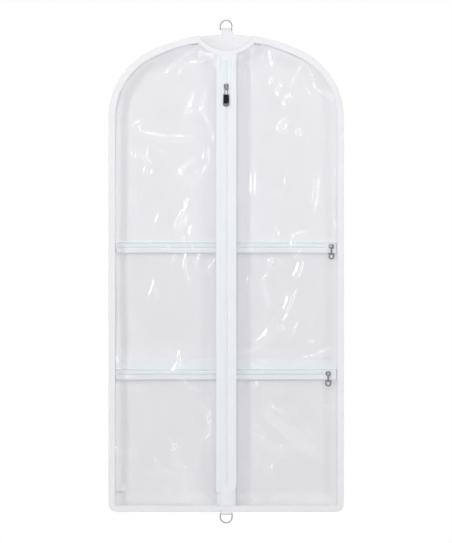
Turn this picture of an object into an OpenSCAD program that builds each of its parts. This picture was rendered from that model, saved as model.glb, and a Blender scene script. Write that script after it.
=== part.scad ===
// Clear-front garment bag: arched top, hanger opening, full-length centre zip, two inner pockets
// X runs to the right, Y to the back and Z up; the origin is the centre of the hanger opening

/* [Bag] */
// Width over the edge binding
bag_w = 600; // [560:5:700]
// Height over the edge binding
bag_h = 1220; // [1150:5:1500]
// Depth from the front sheet to the back sheet
bag_d = 60; // [56:1:90]
// Radius of the arched top
top_r = 440; // [420:5:470]
// Radius of the shoulders
shoulder_r = 190; // [170:5:205]
// Radius of the bottom corners
corner_r = 20; // [18:1:40]
// How far the hanger opening's centre lies below the top edge
hanger_drop = 27; // [22:1:32]

/* [Sheets and binding] */
// Thickness of the clear vinyl
vinyl_t = 0.5; // [0.4:0.1:0.8]
// Thickness of the back fabric
fabric_t = 0.8; // [0.5:0.1:1.2]
// Thickness of one leaf of the binding tape
binding_t = 0.8; // [0.5:0.1:1.2]
// Width of the folded binding tape
binding_w = 16; // [14:1:18]
// Room left beside a sewn edge
seam_gap = 0.2; // [0.1:0.05:0.3]
// Depth below the top edge of the join across the side gussets
gusset_join_drop = 329; // [260:1:420]
// Height of the bottom gusset's turned-up ends
gusset_turnup = 60; // [40:1:90]

/* [Hanger opening] */
// Radius of the scooped edge in the front
neck_r = 85; // [80:1:90]
// Depth of the scoop below the top edge
neck_drop = 42; // [38:1:46]
// Width of the neck binding
neck_w = 13; // [10:1:15]

/* [Centre zip] */
// Thickness of the zip tapes
tape_t = 0.7; // [0.5:0.1:1]
// Distance from the centre line to each tape's outer edge
tape_reach = 24; // [20:1:28]
// Distance from the centre line to each front sheet's edge
vinyl_reach = 13; // [11:1:15]
// Width of the white facing strip beside the zip
facing_w = 13; // [12:1:18]
// Thickness of the facing strip
facing_t = 0.7; // [0.5:0.1:1]
// Height above the bottom edge at which the facings end
facing_rise = 51; // [40:1:60]
// Corner cut off the right facing's lower end
facing_cut = 9; // [4:1:12]
// Width of one row of the coil
coil_w = 3.1; // [2.6:0.1:3.6]
// Height of the coil on its tape
coil_h = 2.4; // [2:0.1:3]
// Gap between the two rows
coil_gap = 1.6; // [1.4:0.1:2]
// Depth below the top edge at which the coil begins
coil_top_drop = 66; // [62:1:76]
// Height above the bottom edge at which the coil ends
coil_rise = 68; // [62:1:76]
// Height of the stops
stop_h = 4; // [3:0.5:6]
// Width of the slider
slider_w = 13; // [12:0.5:15]
// Width of the slider's lower end
slider_tail_w = 11; // [10.6:0.1:12]
// Length of the slider
slider_l = 17; // [15:0.5:20]
// Thickness of the slider's plates
slider_plate_t = 1.6; // [1.2:0.1:2]
// Depth below the top edge of the slider's middle when nearly closed
slider_drop = 136; // [120:1:150]
// Running clearance of the sliders
run_gap = 0.3; // [0.2:0.05:0.4]

/* [Centre pull] */
// Length of the slider's bail
bail_l = 10; // [9:0.5:11]
// Width of the slider's bail
bail_w = 3; // [2.5:0.1:3.5]
// Thickness of the slider's bail
bail_t = 1.3; // [1:0.1:1.6]
// Height of the opening under the bail
bail_open = 2.8; // [2.6:0.1:3.4]
// Diameter of the pull's cross bar
pull_bar_d = 2; // [1.6:0.1:2.2]
// Width of the pull's loop
pull_loop_w = 10; // [9:0.5:12]
// Width of the loop's arms
pull_arm_w = 2.2; // [1.8:0.1:2.4]
// Length of the loop below its cross bar
pull_loop_l = 16; // [14:0.5:20]
// Width of the tag at its upper end
tag_top_w = 15; // [13:0.5:17]
// Width of the tag at its lower end
tag_end_w = 17; // [15:0.5:20]
// Length of the tag
tag_l = 32; // [29:0.5:36]
// Thickness of the tag
tag_t = 2.4; // [2:0.1:3]
// Rim of metal beside the dark inlay
tag_rim = 1; // [0.8:0.1:1.4]
// Length of the dark inlay
inlay_l = 23; // [18:0.5:24]
// How far the inlay stands proud of the tag
inlay_proud = 0.3; // [0.1:0.1:0.5]
// Metal left behind the inlay
inlay_floor = 0.8; // [0.6:0.1:1]

/* [Pockets] */
// How far the pocket zips stand off the back sheet
pocket_depth = 9; // [8:0.5:12]
// Depth below the top edge of the upper pocket's zip
upper_zip_drop = 543; // [500:1:580]
// Depth below the top edge of the lower pocket's zip
lower_zip_drop = 868; // [830:1:910]
// Width of each pocket zip tape
pocket_tape_w = 15; // [14:0.5:18]
// Part of the upper tape that lies flat on the back sheet
tape_seat = 5; // [3:0.5:6]
// Overlap of the pocket sheet and the lower tape
pocket_lap = 7; // [5:0.5:8]
// Height over which a pocket sheet returns to the back sheet
pocket_return = 24; // [20:1:40]
// Height of the lower pocket sheet's sewn foot
pocket_foot = 6; // [4:0.5:8]
// Height of the white hem under the upper pocket
hem_h = 26; // [20:1:32]
// Thickness of the hem
hem_t = 0.8; // [0.5:0.1:1.2]
// Width of one row of the pocket coil
pocket_coil_w = 2.4; // [2:0.1:2.8]
// Height of the pocket coil on its tape
pocket_coil_h = 2; // [1.6:0.1:2.4]
// Distance from the side walls to the ends of the pocket coils
pocket_coil_side = 5; // [5:1:20]
// Width of the pocket sliders
pocket_slider_w = 12; // [11:0.5:13]
// Width of the pocket sliders' tail
pocket_tail_w = 10; // [9.4:0.1:11]
// Length of the pocket sliders
pocket_slider_l = 14; // [13:0.5:16]
// Thickness of the pocket sliders' plates
pocket_plate_t = 1.2; // [1:0.1:1.6]
// Distance from the right side wall to the upper slider's middle
upper_slider_side = 14; // [14:1:60]
// Distance from the right side wall to the lower slider's middle
lower_slider_side = 22; // [14:1:60]

/* [Pocket pulls] */
// Diameter of the bar that carries a pocket pull
eye_bar_d = 1.8; // [1.5:0.1:2]
// Height of that bar above the slider's plate
eye_bar_h = 3.3; // [3:0.1:4]
// Length between the bar's posts
eye_bar_l = 6.4; // [6:0.1:8]
// Thickness of the bar's posts
eye_post_t = 1.6; // [1.2:0.1:2]
// Outer diameter of the pull's rolled eye
eye_d = 4.4; // [4.2:0.1:5]
// Length of the rolled eye
eye_l = 5; // [4:0.1:5.4]
// Width of the pull's stem
stem_w = 5; // [4:0.5:7]
// Length of the stem below the eye
stem_l = 17; // [14:0.5:20]
// Thickness of the pocket pulls
stem_t = 1.4; // [1:0.1:1.8]
// Diameter of the pull's round end
pull_end_d = 16; // [14:0.5:18]
// Width of the hole in the round end
pull_hole_d = 8; // [6:0.5:9]

/* [Rings and tabs] */
// Width of the webbing
webbing_w = 25.4; // [22:0.2:26]
// Thickness of one layer of webbing
webbing_t = 1.5; // [1.2:0.1:2]
// Clear width inside a ring
ring_clear_w = 26.4; // [26.2:0.2:30]
// Diameter of the ring wire
ring_wire_d = 3.5; // [3:0.1:4]
// Straight length of a ring's sides
ring_side_l = 8.8; // [6:0.2:12]
// Clearance of the ring's bar in its webbing
ring_fit = 0.15; // [0.1:0.05:0.3]
// Height of the top ring's bar above the top edge
top_bar_rise = 13.7; // [8:0.1:16]
// Depth of the bottom ring's bar below the bottom edge
bottom_bar_fall = 4.2; // [4.2:0.1:9]
// How far the tabs reach onto the bag
tab_reach = 15; // [10:1:16]
// Drop below a ring's bar at which a tab's inner layer starts to lean
tab_lean_drop = 6; // [5.5:0.5:9]
// Lean of a tab's inner layer from the upright
tab_lean = 42; // [0:1:45]

/* [Label] */
// Width of the care label
label_w = 25; // [15:1:40]
// Height of the care label
label_h = 20; // [10:1:26]
// Thickness of the care label
label_t = 0.3; // [0.2:0.1:0.5]
// Height above the bottom edge of the label's middle
label_rise = 60; // [54:1:90]

/* [Hidden] */
$fa = 1;
$fs = 0.4;

// Heights
top_z = hanger_drop;
bottom_z = top_z - bag_h;
shoulder_x = bag_w / 2 - shoulder_r;
crown_z = top_z - top_r;
shoulder_z = crown_z + sqrt(pow(top_r - shoulder_r, 2) - pow(shoulder_x, 2));
crown_angle = atan2(shoulder_z - crown_z, shoulder_x);
gusset_join_z = top_z - gusset_join_drop;
gusset_turnup_z = bottom_z + gusset_turnup;
neck_z = top_z - neck_drop + neck_r;
far = 2 * bag_h;

// Insets from the bag's outline
edge_in = binding_t + seam_gap;
wall_in = binding_w + seam_gap;
inner_in = wall_in + vinyl_t;
inside_x = bag_w / 2 - inner_in - seam_gap;
inside_z = bottom_z + inner_in + seam_gap;

// Depths of the layers, front to back
front_y = -bag_d / 2;
back_y = bag_d / 2;
front_flange_y = front_y + vinyl_t;
front_inner_y = front_flange_y + vinyl_t;
back_face_y = back_y - fabric_t;
back_flange_y = back_face_y - vinyl_t;
tape_y = front_y + vinyl_t;
neck_inner_y = tape_y + tape_t;
front_leaf_y = front_y - binding_t;
back_leaf_y = back_y + binding_t;

// Hanger opening
neck_out_r = neck_r + neck_w;
neck_edge_r = neck_r + edge_in;

// Where the gusset's wall ends at the hanger opening, as an angle about the crown's centre
gusset_cut_r = neck_out_r + binding_t + 2 * seam_gap;
wall_r = top_r - wall_in - vinyl_t / 2;
neck_rise = neck_z - crown_z;
wall_end_cos = (pow(wall_r, 2) + pow(neck_rise, 2) - pow(gusset_cut_r, 2)) / (2 * wall_r * neck_rise);
neck_side_arc = neck_w / 2 - binding_t - seam_gap;
neck_side_angle = acos(wall_end_cos) + neck_side_arc / wall_r * 180 / PI;

// Coil and slider of the centre zip
coil_in = coil_gap / 2;
tape_in = coil_in + seam_gap;
chain_half = coil_in + coil_w;
coil_top_z = top_z - coil_top_drop;
coil_end_z = bottom_z + coil_rise;
facing_end_z = bottom_z + facing_rise;
slider_z = top_z - slider_drop;
slider_face_y = tape_y - coil_h - run_gap - slider_plate_t;
pull_bar_y = slider_face_y - bail_open / 2;
pull_bar_z = slider_z - bail_l / 2 + bail_t + pull_bar_d / 2 + run_gap;

// Pockets
pocket_y = back_face_y - pocket_depth;
pocket_tape_y = pocket_y - tape_t;
upper_zip_z = top_z - upper_zip_drop;
lower_zip_z = top_z - lower_zip_drop;
hem_top_z = lower_zip_z + coil_in + pocket_tape_w + seam_gap + hem_h;
hem_bottom_z = hem_top_z - hem_h;
pocket_chain_half = coil_in + pocket_coil_w;
pocket_coil_reach = inside_x - pocket_coil_side;
upper_slider_x = inside_x - upper_slider_side;
lower_slider_x = inside_x - lower_slider_side;
pocket_face_y = pocket_tape_y - pocket_coil_h - run_gap - pocket_plate_t;
eye_y = pocket_face_y - eye_bar_h;

// Rings
ring_r = (ring_clear_w + ring_wire_d) / 2;
loop_r = ring_wire_d / 2 + ring_fit;
top_bar_y = back_leaf_y + webbing_t;
top_bar_z = top_z + top_bar_rise;
bottom_bar_y = front_leaf_y - webbing_t;
bottom_bar_z = bottom_z - bottom_bar_fall;

// Finish colours
vinyl_colour = [0.86, 0.88, 0.92, 0.4];
fabric_colour = [0.93, 0.92, 0.95];
binding_colour = [0.95, 0.94, 0.96];
tape_colour = [0.93, 0.95, 0.97];
metal_colour = [0.62, 0.62, 0.64];
inlay_colour = [0.06, 0.06, 0.07];

// Slice of a disc between two angles
module pie(r, from, to) {
  middle = (from + to) / 2;
  intersection() {
    circle(r);
    polygon([[0, 0], far * [cos(from), sin(from)], far * [cos(middle), sin(middle)],
      far * [cos(to), sin(to)]]);
  }
}

// The bag's outline seen from the front, drawn in by a given inset
module outline(inset) {
  half_w = bag_w / 2 - inset;
  low_z = bottom_z + inset;
  round_r = max(corner_r - inset, seam_gap);
  translate([0, crown_z]) pie(top_r - inset, crown_angle, 180 - crown_angle);
  for (side = [0, 1])
    mirror([side, 0])
      translate([shoulder_x, shoulder_z]) pie(shoulder_r - inset, 0, crown_angle);
  translate([-half_w, low_z + round_r]) square([2 * half_w, shoulder_z - low_z - round_r]);
  translate([round_r - half_w, low_z]) square([2 * (half_w - round_r), round_r]);
  for (side = [0, 1])
    mirror([side, 0])
      translate([half_w - round_r, low_z + round_r]) pie(round_r, 270, 360);
}

// Strip of the outline between two insets
module border(outer, inner) {
  difference() {
    outline(outer);
    outline(inner);
  }
}

// Gives a front view a thickness, starting at a depth
module layer(y, thickness) {
  translate([0, y + thickness, 0])
    rotate([90, 0, 0])
      linear_extrude(thickness)
        children();
}

// Gives a side view (depth, height) a length across the bag
module across(from, to) {
  translate([from, 0, 0])
    rotate([90, 0, 90])
      linear_extrude(to - from)
        children();
}

// Disc on the scoop's centre
module neck_disc(r) {
  translate([0, neck_z]) circle(r);
}

// Everything on one side of the middle, past a distance
module beyond(x, side) {
  mirror([side < 0 ? 1 : 0, 0])
    translate([x, -far]) square([far, 2 * far]);
}

module back_panel() {
  color(fabric_colour) layer(back_face_y, fabric_t) outline(edge_in);
}

module front_panel(side) {
  color(vinyl_colour)
    layer(front_y, vinyl_t)
      intersection() {
        difference() {
          outline(edge_in);
          neck_disc(neck_edge_r);
        }
        beyond(vinyl_reach, side);
      }
}

// The gusset's wall and its two sewn flanges, open at the hanger opening
module gusset() {
  for (y = [front_flange_y, back_flange_y])
    layer(y, vinyl_t)
      difference() {
        border(edge_in, inner_in);
        neck_disc(gusset_cut_r);
      }
  layer(front_flange_y, back_face_y - front_flange_y)
    difference() {
      border(wall_in, inner_in);
      neck_disc(gusset_cut_r);
    }
}

// Block that keeps a stretch of the gusset
module stretch(from_z, to_z, from_x, to_x) {
  translate([from_x, -bag_d, from_z]) cube([to_x - from_x, 2 * bag_d, to_z - from_z]);
}

module gusset_shoulder(side) {
  color(vinyl_colour)
    intersection() {
      gusset();
      stretch(gusset_join_z, top_z + top_r, min(0, side * bag_w), max(0, side * bag_w));
    }
}

module gusset_side(side) {
  color(vinyl_colour)
    intersection() {
      gusset();
      stretch(gusset_turnup_z, gusset_join_z, min(0, side * bag_w), max(0, side * bag_w));
    }
}

module gusset_bottom() {
  color(vinyl_colour)
    intersection() {
      gusset();
      stretch(bottom_z - bag_d, gusset_turnup_z, -bag_w, bag_w);
    }
}

module front_binding() {
  color(binding_colour)
    difference() {
      union() {
        layer(front_leaf_y, binding_t) border(0, binding_w);
        layer(front_inner_y, binding_t) border(0, binding_w);
        layer(front_leaf_y, front_inner_y - front_leaf_y + binding_t) border(0, binding_t);
      }
      layer(front_y - bag_d, 2 * bag_d) neck_disc(neck_out_r + seam_gap);
    }
}

module back_binding() {
  color(binding_colour) {
    layer(back_y, binding_t) border(0, binding_w);
    layer(back_flange_y - binding_t, binding_t) border(0, binding_w);
    layer(back_flange_y - binding_t, back_leaf_y - back_flange_y + binding_t) border(0, binding_t);
  }
}

// Strip of the scoop between two radii, kept inside the bag's outline
module neck_strip(inner_r, outer_r) {
  intersection() {
    difference() {
      neck_disc(outer_r);
      neck_disc(inner_r);
    }
    outline(0);
  }
}

module neck_binding() {
  color(binding_colour) {
    layer(front_leaf_y, binding_t) neck_strip(neck_r, neck_out_r);
    layer(neck_inner_y, binding_t) neck_strip(neck_r, neck_out_r);
    layer(front_leaf_y, neck_inner_y - front_leaf_y + binding_t) neck_strip(neck_r, neck_r + binding_t);
  }
}

// Folded tape over the gusset's cut end, from the front seam to the back seam
module neck_side(side) {
  from_y = front_inner_y + binding_t + seam_gap;
  to_y = back_flange_y - binding_t - seam_gap;
  slot_half = vinyl_t / 2 + seam_gap;
  tape_half = slot_half + binding_t;
  color(binding_colour)
    layer(from_y, to_y - from_y)
      mirror([side < 0 ? 1 : 0, 0])
        translate([0, crown_z])
          rotate(-neck_side_angle)
            translate([-neck_w / 2, wall_r])
              difference() {
                translate([0, -tape_half]) square([neck_w, 2 * tape_half]);
                translate([binding_t, -slot_half]) square([neck_w, 2 * slot_half]);
              }
}

module zip_tape(side) {
  color(tape_colour)
    layer(tape_y, tape_t)
      mirror([side < 0 ? 1 : 0, 0])
        difference() {
          translate([tape_in, inside_z]) square([tape_reach - tape_in, top_z - inside_z]);
          neck_disc(neck_edge_r);
        }
}

// Profile of a coil row as (depth, width), rounded towards the front
module coil_profile(width, height) {
  round_r = width / 2;
  intersection() {
    union() {
      translate([round_r - height, round_r]) circle(round_r);
      translate([round_r - height, 0]) square([height, width]);
    }
    translate([-height, 0]) square([height, width]);
  }
}

module zip_coil(side) {
  color(tape_colour)
    mirror([side < 0 ? 1 : 0, 0, 0])
      translate([coil_in, tape_y, coil_end_z])
        linear_extrude(coil_top_z - coil_end_z)
          mirror([1, -1])
            coil_profile(coil_w, coil_h);
}

module zip_facing(side) {
  color(tape_colour)
    layer(front_y - facing_t, facing_t)
      mirror([side < 0 ? 1 : 0, 0])
        difference() {
          translate([vinyl_reach, facing_end_z]) square([facing_w, top_z - facing_end_z]);
          neck_disc(neck_out_r + seam_gap);
          if (side > 0)
            translate([vinyl_reach + facing_w, facing_end_z])
              rotate(45) square(facing_cut * sqrt(2), center = true);
        }
}

module zip_top_stops() {
  color(metal_colour)
    for (side = [0, 1])
      mirror([side, 0, 0])
        translate([tape_in, tape_y - coil_h, coil_top_z])
          cube([chain_half - tape_in, coil_h, stop_h]);
}

module zip_bottom_stop() {
  color(metal_colour)
    translate([-chain_half, tape_y - coil_h, coil_end_z - stop_h])
      cube([2 * chain_half, coil_h, stop_h]);
}

// Slider plate: straight shoulders, tapered tail, both ends gently curved
module plate_outline(w, tail_w, l) {
  end_r = 0.75 * l;
  intersection() {
    polygon([[-tail_w / 2, -l / 2], [tail_w / 2, -l / 2], [w / 2, 0], [w / 2, l / 2],
      [-w / 2, l / 2], [-w / 2, 0]]);
    translate([0, l / 2 - end_r]) circle(end_r);
    translate([0, end_r - l / 2]) circle(end_r);
  }
}

// Slider body on a tape's front face: two plates, two rails and the neck between the coil rows
module slider_body(w, tail_w, l, plate_t, chain, coil) {
  channel = chain + run_gap;
  front = -coil - run_gap - plate_t;
  back = tape_t + run_gap;
  neck_half = coil_in - run_gap;
  layer(front, plate_t) plate_outline(w, tail_w, l);
  layer(back, plate_t) plate_outline(w, tail_w, l);
  layer(front, plate_t + coil)
    difference() {
      plate_outline(w, tail_w, l);
      square([2 * channel, 2 * l], center = true);
    }
  layer(front, back + plate_t - front)
    translate([-neck_half, l / 8]) square([2 * neck_half, l / 4]);
}

// Arch seen from the side as (length, height)
module arch(length, height) {
  round_r = 0.6 * height;
  square([length, height - round_r]);
  translate([round_r, 0]) square([length - 2 * round_r, height]);
  for (x = [round_r, length - round_r])
    translate([x, height - round_r]) circle(round_r);
}

module zip_slider() {
  color(metal_colour) {
    translate([0, tape_y, slider_z])
      slider_body(slider_w, slider_tail_w, slider_l, slider_plate_t, chain_half, coil_h);
    across(-bail_w / 2, bail_w / 2)
      translate([slider_face_y, slider_z - bail_l / 2])
        rotate(90)
          difference() {
            arch(bail_l, bail_open + bail_t);
            translate([bail_t, 0]) arch(bail_l - 2 * bail_t, bail_open);
          }
  }
}

// Half the tag's width at a distance below its upper end
function tag_half(drop) = (tag_top_w + (tag_end_w - tag_top_w) * drop / tag_l) / 2;

// Stretch of the tag between two distances below its upper end, drawn in by a rim
module tag_stretch(from, to, rim) {
  polygon([[rim - tag_half(from), -from], [tag_half(from) - rim, -from],
    [tag_half(to) - rim, -to], [rim - tag_half(to), -to]]);
}

// Metal pull: cross bar under the bail, two arms and a tag with a recess for the inlay
module zip_pull() {
  end_r = 0.6 * tag_end_w;
  arm_x = pull_loop_w / 2 - pull_arm_w;
  color(metal_colour)
    translate([0, pull_bar_y, pull_bar_z]) {
      rotate([0, 90, 0]) cylinder(d = pull_bar_d, h = 2 * arm_x + pull_arm_w, center = true);
      layer(-pull_bar_d / 2, pull_bar_d)
        for (side = [0, 1])
          mirror([side, 0])
            translate([arm_x, -pull_loop_l - tag_rim])
              square([pull_arm_w, pull_loop_l + tag_rim + pull_bar_d / 2]);
      difference() {
        layer(-tag_t / 2, tag_t)
          translate([0, -pull_loop_l])
            intersection() {
              tag_stretch(0, tag_l, 0);
              union() {
                translate([0, end_r - tag_l]) circle(end_r);
                translate([-tag_end_w, end_r - tag_l]) square([2 * tag_end_w, tag_l]);
              }
            }
        layer(-tag_t / 2, tag_t - inlay_floor)
          translate([0, -pull_loop_l]) tag_stretch(tag_rim, tag_rim + inlay_l, tag_rim);
      }
    }
}

module zip_pull_inlay() {
  color(inlay_colour)
    translate([0, pull_bar_y, pull_bar_z - pull_loop_l])
      layer(-tag_t / 2 - inlay_proud, tag_t - inlay_floor + inlay_proud)
        tag_stretch(tag_rim, tag_rim + inlay_l, tag_rim);
}

// Sheet of a given thickness that steps from one depth to another, seen from the side.
// It runs flat at from_y, slopes between step_from and step_to, and runs flat at to_y.
module stepped(thickness, from_y, to_y, from_z, step_from, step_to, to_z) {
  run = to_y - from_y;
  rise = step_to - step_from;
  knee = sign(rise) * thickness * (sqrt(run * run + rise * rise) - abs(rise)) / run;
  polygon([[from_y, from_z], [from_y, step_from], [to_y, step_to], [to_y, to_z],
    [to_y + thickness, to_z], [to_y + thickness, step_to - knee],
    [from_y + thickness, step_from - knee], [from_y + thickness, from_z]]);
}

// Upper tape of a pocket zip, sewn to the back sheet and stepping forward to the coil
module pocket_tape_top(zip_z) {
  top = zip_z + coil_in + pocket_tape_w;
  clear = zip_z + pocket_slider_w / 2 + 2 * seam_gap + tape_t;
  color(tape_colour)
    across(-inside_x, inside_x)
      stepped(tape_t, pocket_tape_y, back_face_y - tape_t, zip_z + tape_in, clear,
        top - tape_seat, top);
}

module pocket_tape_bottom(zip_z) {
  color(tape_colour)
    across(-inside_x, inside_x)
      translate([pocket_tape_y, zip_z - coil_in - pocket_tape_w])
        square([tape_t, pocket_tape_w + coil_in - tape_in]);
}

// One row of a pocket zip's coil, above or below the zip's line
module pocket_coil(zip_z, side) {
  color(tape_colour)
    across(-pocket_coil_reach, pocket_coil_reach)
      translate([pocket_tape_y, zip_z])
        mirror([0, side < 0 ? 1 : 0])
          translate([0, coil_in])
            coil_profile(pocket_coil_w, pocket_coil_h);
}

module pocket_stops(zip_z) {
  color(metal_colour)
    for (side = [0, 1])
      mirror([side, 0, 0])
        translate([pocket_coil_reach, pocket_tape_y - pocket_coil_h, zip_z - pocket_chain_half])
          cube([stop_h, pocket_coil_h, 2 * pocket_chain_half]);
}

// Clear pocket front: lapped behind the lower tape, returning to the back sheet at its foot
module pocket_sheet(zip_z, flat_z, low_z) {
  color(vinyl_colour)
    across(-inside_x, inside_x)
      stepped(vinyl_t, pocket_y, back_face_y - vinyl_t,
        zip_z - coil_in - pocket_tape_w + pocket_lap, flat_z + pocket_return, flat_z, low_z);
}

module upper_pocket_sheet() {
  pocket_sheet(upper_zip_z, hem_top_z, hem_bottom_z);
}

module lower_pocket_sheet() {
  pocket_sheet(lower_zip_z, inside_z + pocket_foot, inside_z);
}

module pocket_hem() {
  color(tape_colour)
    across(-inside_x, inside_x)
      translate([back_face_y - vinyl_t - hem_t, hem_bottom_z]) square([hem_t, hem_h]);
}

// Pocket slider, closing to the right, with a round bar on two posts for its pull
module pocket_slider(x, zip_z) {
  post_h = eye_bar_h + eye_bar_d;
  color(metal_colour)
    translate([x, 0, zip_z]) {
      translate([0, pocket_tape_y, 0])
        rotate([0, 90, 0])
          slider_body(pocket_slider_w, pocket_tail_w, pocket_slider_l, pocket_plate_t,
            pocket_chain_half, pocket_coil_h);
      for (side = [0, 1])
        mirror([side, 0, 0])
          translate([eye_bar_l / 2, pocket_face_y - post_h, -eye_bar_d])
            cube([eye_post_t, post_h, 2 * eye_bar_d]);
      translate([0, eye_y, 0])
        rotate([0, 90, 0]) cylinder(d = eye_bar_d, h = eye_bar_l + eye_post_t, center = true);
    }
}

// Shape with a flat top and a round lower end
module stirrup(d) {
  circle(d / 2);
  translate([-d / 2, 0]) square([d, d / 2]);
}

// Pocket pull: rolled eye on the slider's bar, stem and an open stirrup end
module pocket_pull(x, zip_z) {
  bore_d = eye_bar_d + 2 * run_gap;
  end_z = -stem_l - pull_end_d / 2;
  color(metal_colour)
    translate([x, eye_y, zip_z])
      difference() {
        union() {
          rotate([0, 90, 0]) cylinder(d = eye_d, h = eye_l, center = true);
          layer(-stem_t / 2, stem_t) {
            translate([-stem_w / 2, -stem_l - stem_t]) square([stem_w, stem_l + stem_t]);
            difference() {
              translate([0, end_z]) stirrup(pull_end_d);
              translate([0, end_z]) stirrup(pull_hole_d);
            }
          }
        }
        rotate([0, 90, 0]) cylinder(d = bore_d, h = 2 * eye_l, center = true);
      }
}

// Folded webbing seen from the side: two layers sewn flat, parting round the ring's bar
module tab_profile(reach) {
  difference() {
    union() {
      translate([-webbing_t, -reach]) square([2 * webbing_t, reach]);
      circle(loop_r + webbing_t);
    }
    circle(loop_r);
  }
}

// Inner layer of a tab seen from the front: it leans to one side on its way to the bag
module leaning_layer(reach) {
  shift = (reach - tab_lean_drop) * tan(tab_lean);
  polygon([
    [-webbing_w / 2, -tab_lean_drop],
    [webbing_w / 2, -tab_lean_drop],
    [webbing_w / 2 + shift, -reach],
    [-webbing_w / 2 + shift, -reach]
  ]);
}

module top_tab() {
  color(binding_colour) {
    across(-webbing_w / 2, webbing_w / 2)
      translate([top_bar_y, top_bar_z]) tab_profile(top_bar_rise + tab_reach);
    layer(top_bar_y - webbing_t, webbing_t)
      translate([0, top_bar_z]) leaning_layer(top_bar_rise + tab_reach);
  }
}

module bottom_tab() {
  color(binding_colour) {
    across(-webbing_w / 2, webbing_w / 2)
      translate([bottom_bar_y, bottom_bar_z])
        mirror([0, 1]) tab_profile(bottom_bar_fall + tab_reach);
    layer(bottom_bar_y, webbing_t)
      translate([0, bottom_bar_z]) rotate(180) leaning_layer(bottom_bar_fall + tab_reach);
  }
}

// Wire ring: straight bar, two sides and a half-round end
module wire_ring() {
  color(metal_colour) {
    rotate([0, 90, 0]) cylinder(d = ring_wire_d, h = 2 * ring_r, center = true);
    for (side = [0, 1])
      mirror([side, 0, 0])
        translate([ring_r, 0, 0]) {
          sphere(d = ring_wire_d);
          cylinder(d = ring_wire_d, h = ring_side_l);
        }
    translate([0, 0, ring_side_l])
      rotate([90, 0, 0])
        rotate_extrude(angle = 180)
          translate([ring_r, 0]) circle(d = ring_wire_d);
  }
}

module top_ring() {
  translate([0, top_bar_y, top_bar_z]) wire_ring();
}

module bottom_ring() {
  translate([0, bottom_bar_y, bottom_bar_z]) mirror([0, 0, 1]) wire_ring();
}

module care_label() {
  color(binding_colour)
    layer(pocket_y - label_t, label_t)
      translate([-inside_x, bottom_z + label_rise - label_h / 2]) square([label_w, label_h]);
}

back_panel();
front_panel(-1);  // front_panel_left
front_panel(1);  // front_panel_right
gusset_shoulder(-1);  // gusset_shoulder_left
gusset_shoulder(1);  // gusset_shoulder_right
gusset_side(-1);  // gusset_side_left
gusset_side(1);  // gusset_side_right
gusset_bottom();
front_binding();
back_binding();
neck_binding();
neck_side(-1);  // neck_side_left
neck_side(1);  // neck_side_right
zip_tape(-1);  // zip_tape_left
zip_tape(1);  // zip_tape_right
zip_coil(-1);  // zip_coil_left
zip_coil(1);  // zip_coil_right
zip_facing(-1);  // zip_facing_left
zip_facing(1);  // zip_facing_right
zip_top_stops();
zip_bottom_stop();
zip_slider();
zip_pull();
zip_pull_inlay();
upper_pocket_sheet();
pocket_tape_top(upper_zip_z);  // upper_tape_top
pocket_tape_bottom(upper_zip_z);  // upper_tape_bottom
pocket_coil(upper_zip_z, 1);  // upper_coil_top
pocket_coil(upper_zip_z, -1);  // upper_coil_bottom
pocket_stops(upper_zip_z);  // upper_stops
pocket_slider(upper_slider_x, upper_zip_z);  // upper_slider
pocket_pull(upper_slider_x, upper_zip_z);  // upper_pull
pocket_hem();
lower_pocket_sheet();
pocket_tape_top(lower_zip_z);  // lower_tape_top
pocket_tape_bottom(lower_zip_z);  // lower_tape_bottom
pocket_coil(lower_zip_z, 1);  // lower_coil_top
pocket_coil(lower_zip_z, -1);  // lower_coil_bottom
pocket_stops(lower_zip_z);  // lower_stops
pocket_slider(lower_slider_x, lower_zip_z);  // lower_slider
pocket_pull(lower_slider_x, lower_zip_z);  // lower_pull
top_tab();
top_ring();
bottom_tab();
bottom_ring();
care_label();
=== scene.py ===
"""Looks of the clear-front garment bag: wrinkled vinyl, woven binding, zips, rings and a plain studio."""

import logging
import math
from collections.abc import Callable, Sequence
from dataclasses import dataclass, field
from enum import Enum

import bmesh
import bpy
import numpy as np
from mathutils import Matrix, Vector


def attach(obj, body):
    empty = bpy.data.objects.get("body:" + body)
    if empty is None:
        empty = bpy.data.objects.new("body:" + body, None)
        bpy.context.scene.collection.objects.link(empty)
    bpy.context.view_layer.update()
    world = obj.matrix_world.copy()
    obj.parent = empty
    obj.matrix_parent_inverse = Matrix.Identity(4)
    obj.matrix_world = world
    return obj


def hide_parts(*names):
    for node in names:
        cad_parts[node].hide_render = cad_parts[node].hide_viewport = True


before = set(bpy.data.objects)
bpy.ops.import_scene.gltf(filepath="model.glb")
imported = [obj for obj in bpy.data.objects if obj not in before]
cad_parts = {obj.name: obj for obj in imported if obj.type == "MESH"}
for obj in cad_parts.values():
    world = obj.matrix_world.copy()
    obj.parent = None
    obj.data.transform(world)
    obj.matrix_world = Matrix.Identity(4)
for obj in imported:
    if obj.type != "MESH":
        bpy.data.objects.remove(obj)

LOG = logging.getLogger("garment_bag")
MM = 0.001
SHARP_ANGLE = math.radians(50)
TURN = 2 * math.pi
Array = np.ndarray
Field = Callable[[Array, Array], Array]
Colour = tuple[float, float, float]
Span = tuple[float, float]
Wave = tuple[float, float, float, float]
Place = tuple[float, float, float]
Material = bpy.types.Material
Mesh = bpy.types.Mesh
Object = bpy.types.Object
NodeTree = bpy.types.NodeTree
Socket = bpy.types.NodeSocket


class Worded(Enum):
    """An option whose word is part of its pieces' names."""

    @property
    def word(self) -> str:
        """The option's name in lower case."""
        return self.name.lower()


class Side(Worded):
    """Which half of the bag, seen from the front."""

    LEFT = -1
    RIGHT = 1


class Level(Worded):
    """Which of two like pieces, one above the other."""

    TOP = 1
    BOTTOM = -1


class Weave(Enum):
    """How the threads of a cloth cross."""

    PLAIN = "plain"
    TWILL = "twill"
    RIB = "rib"


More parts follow.
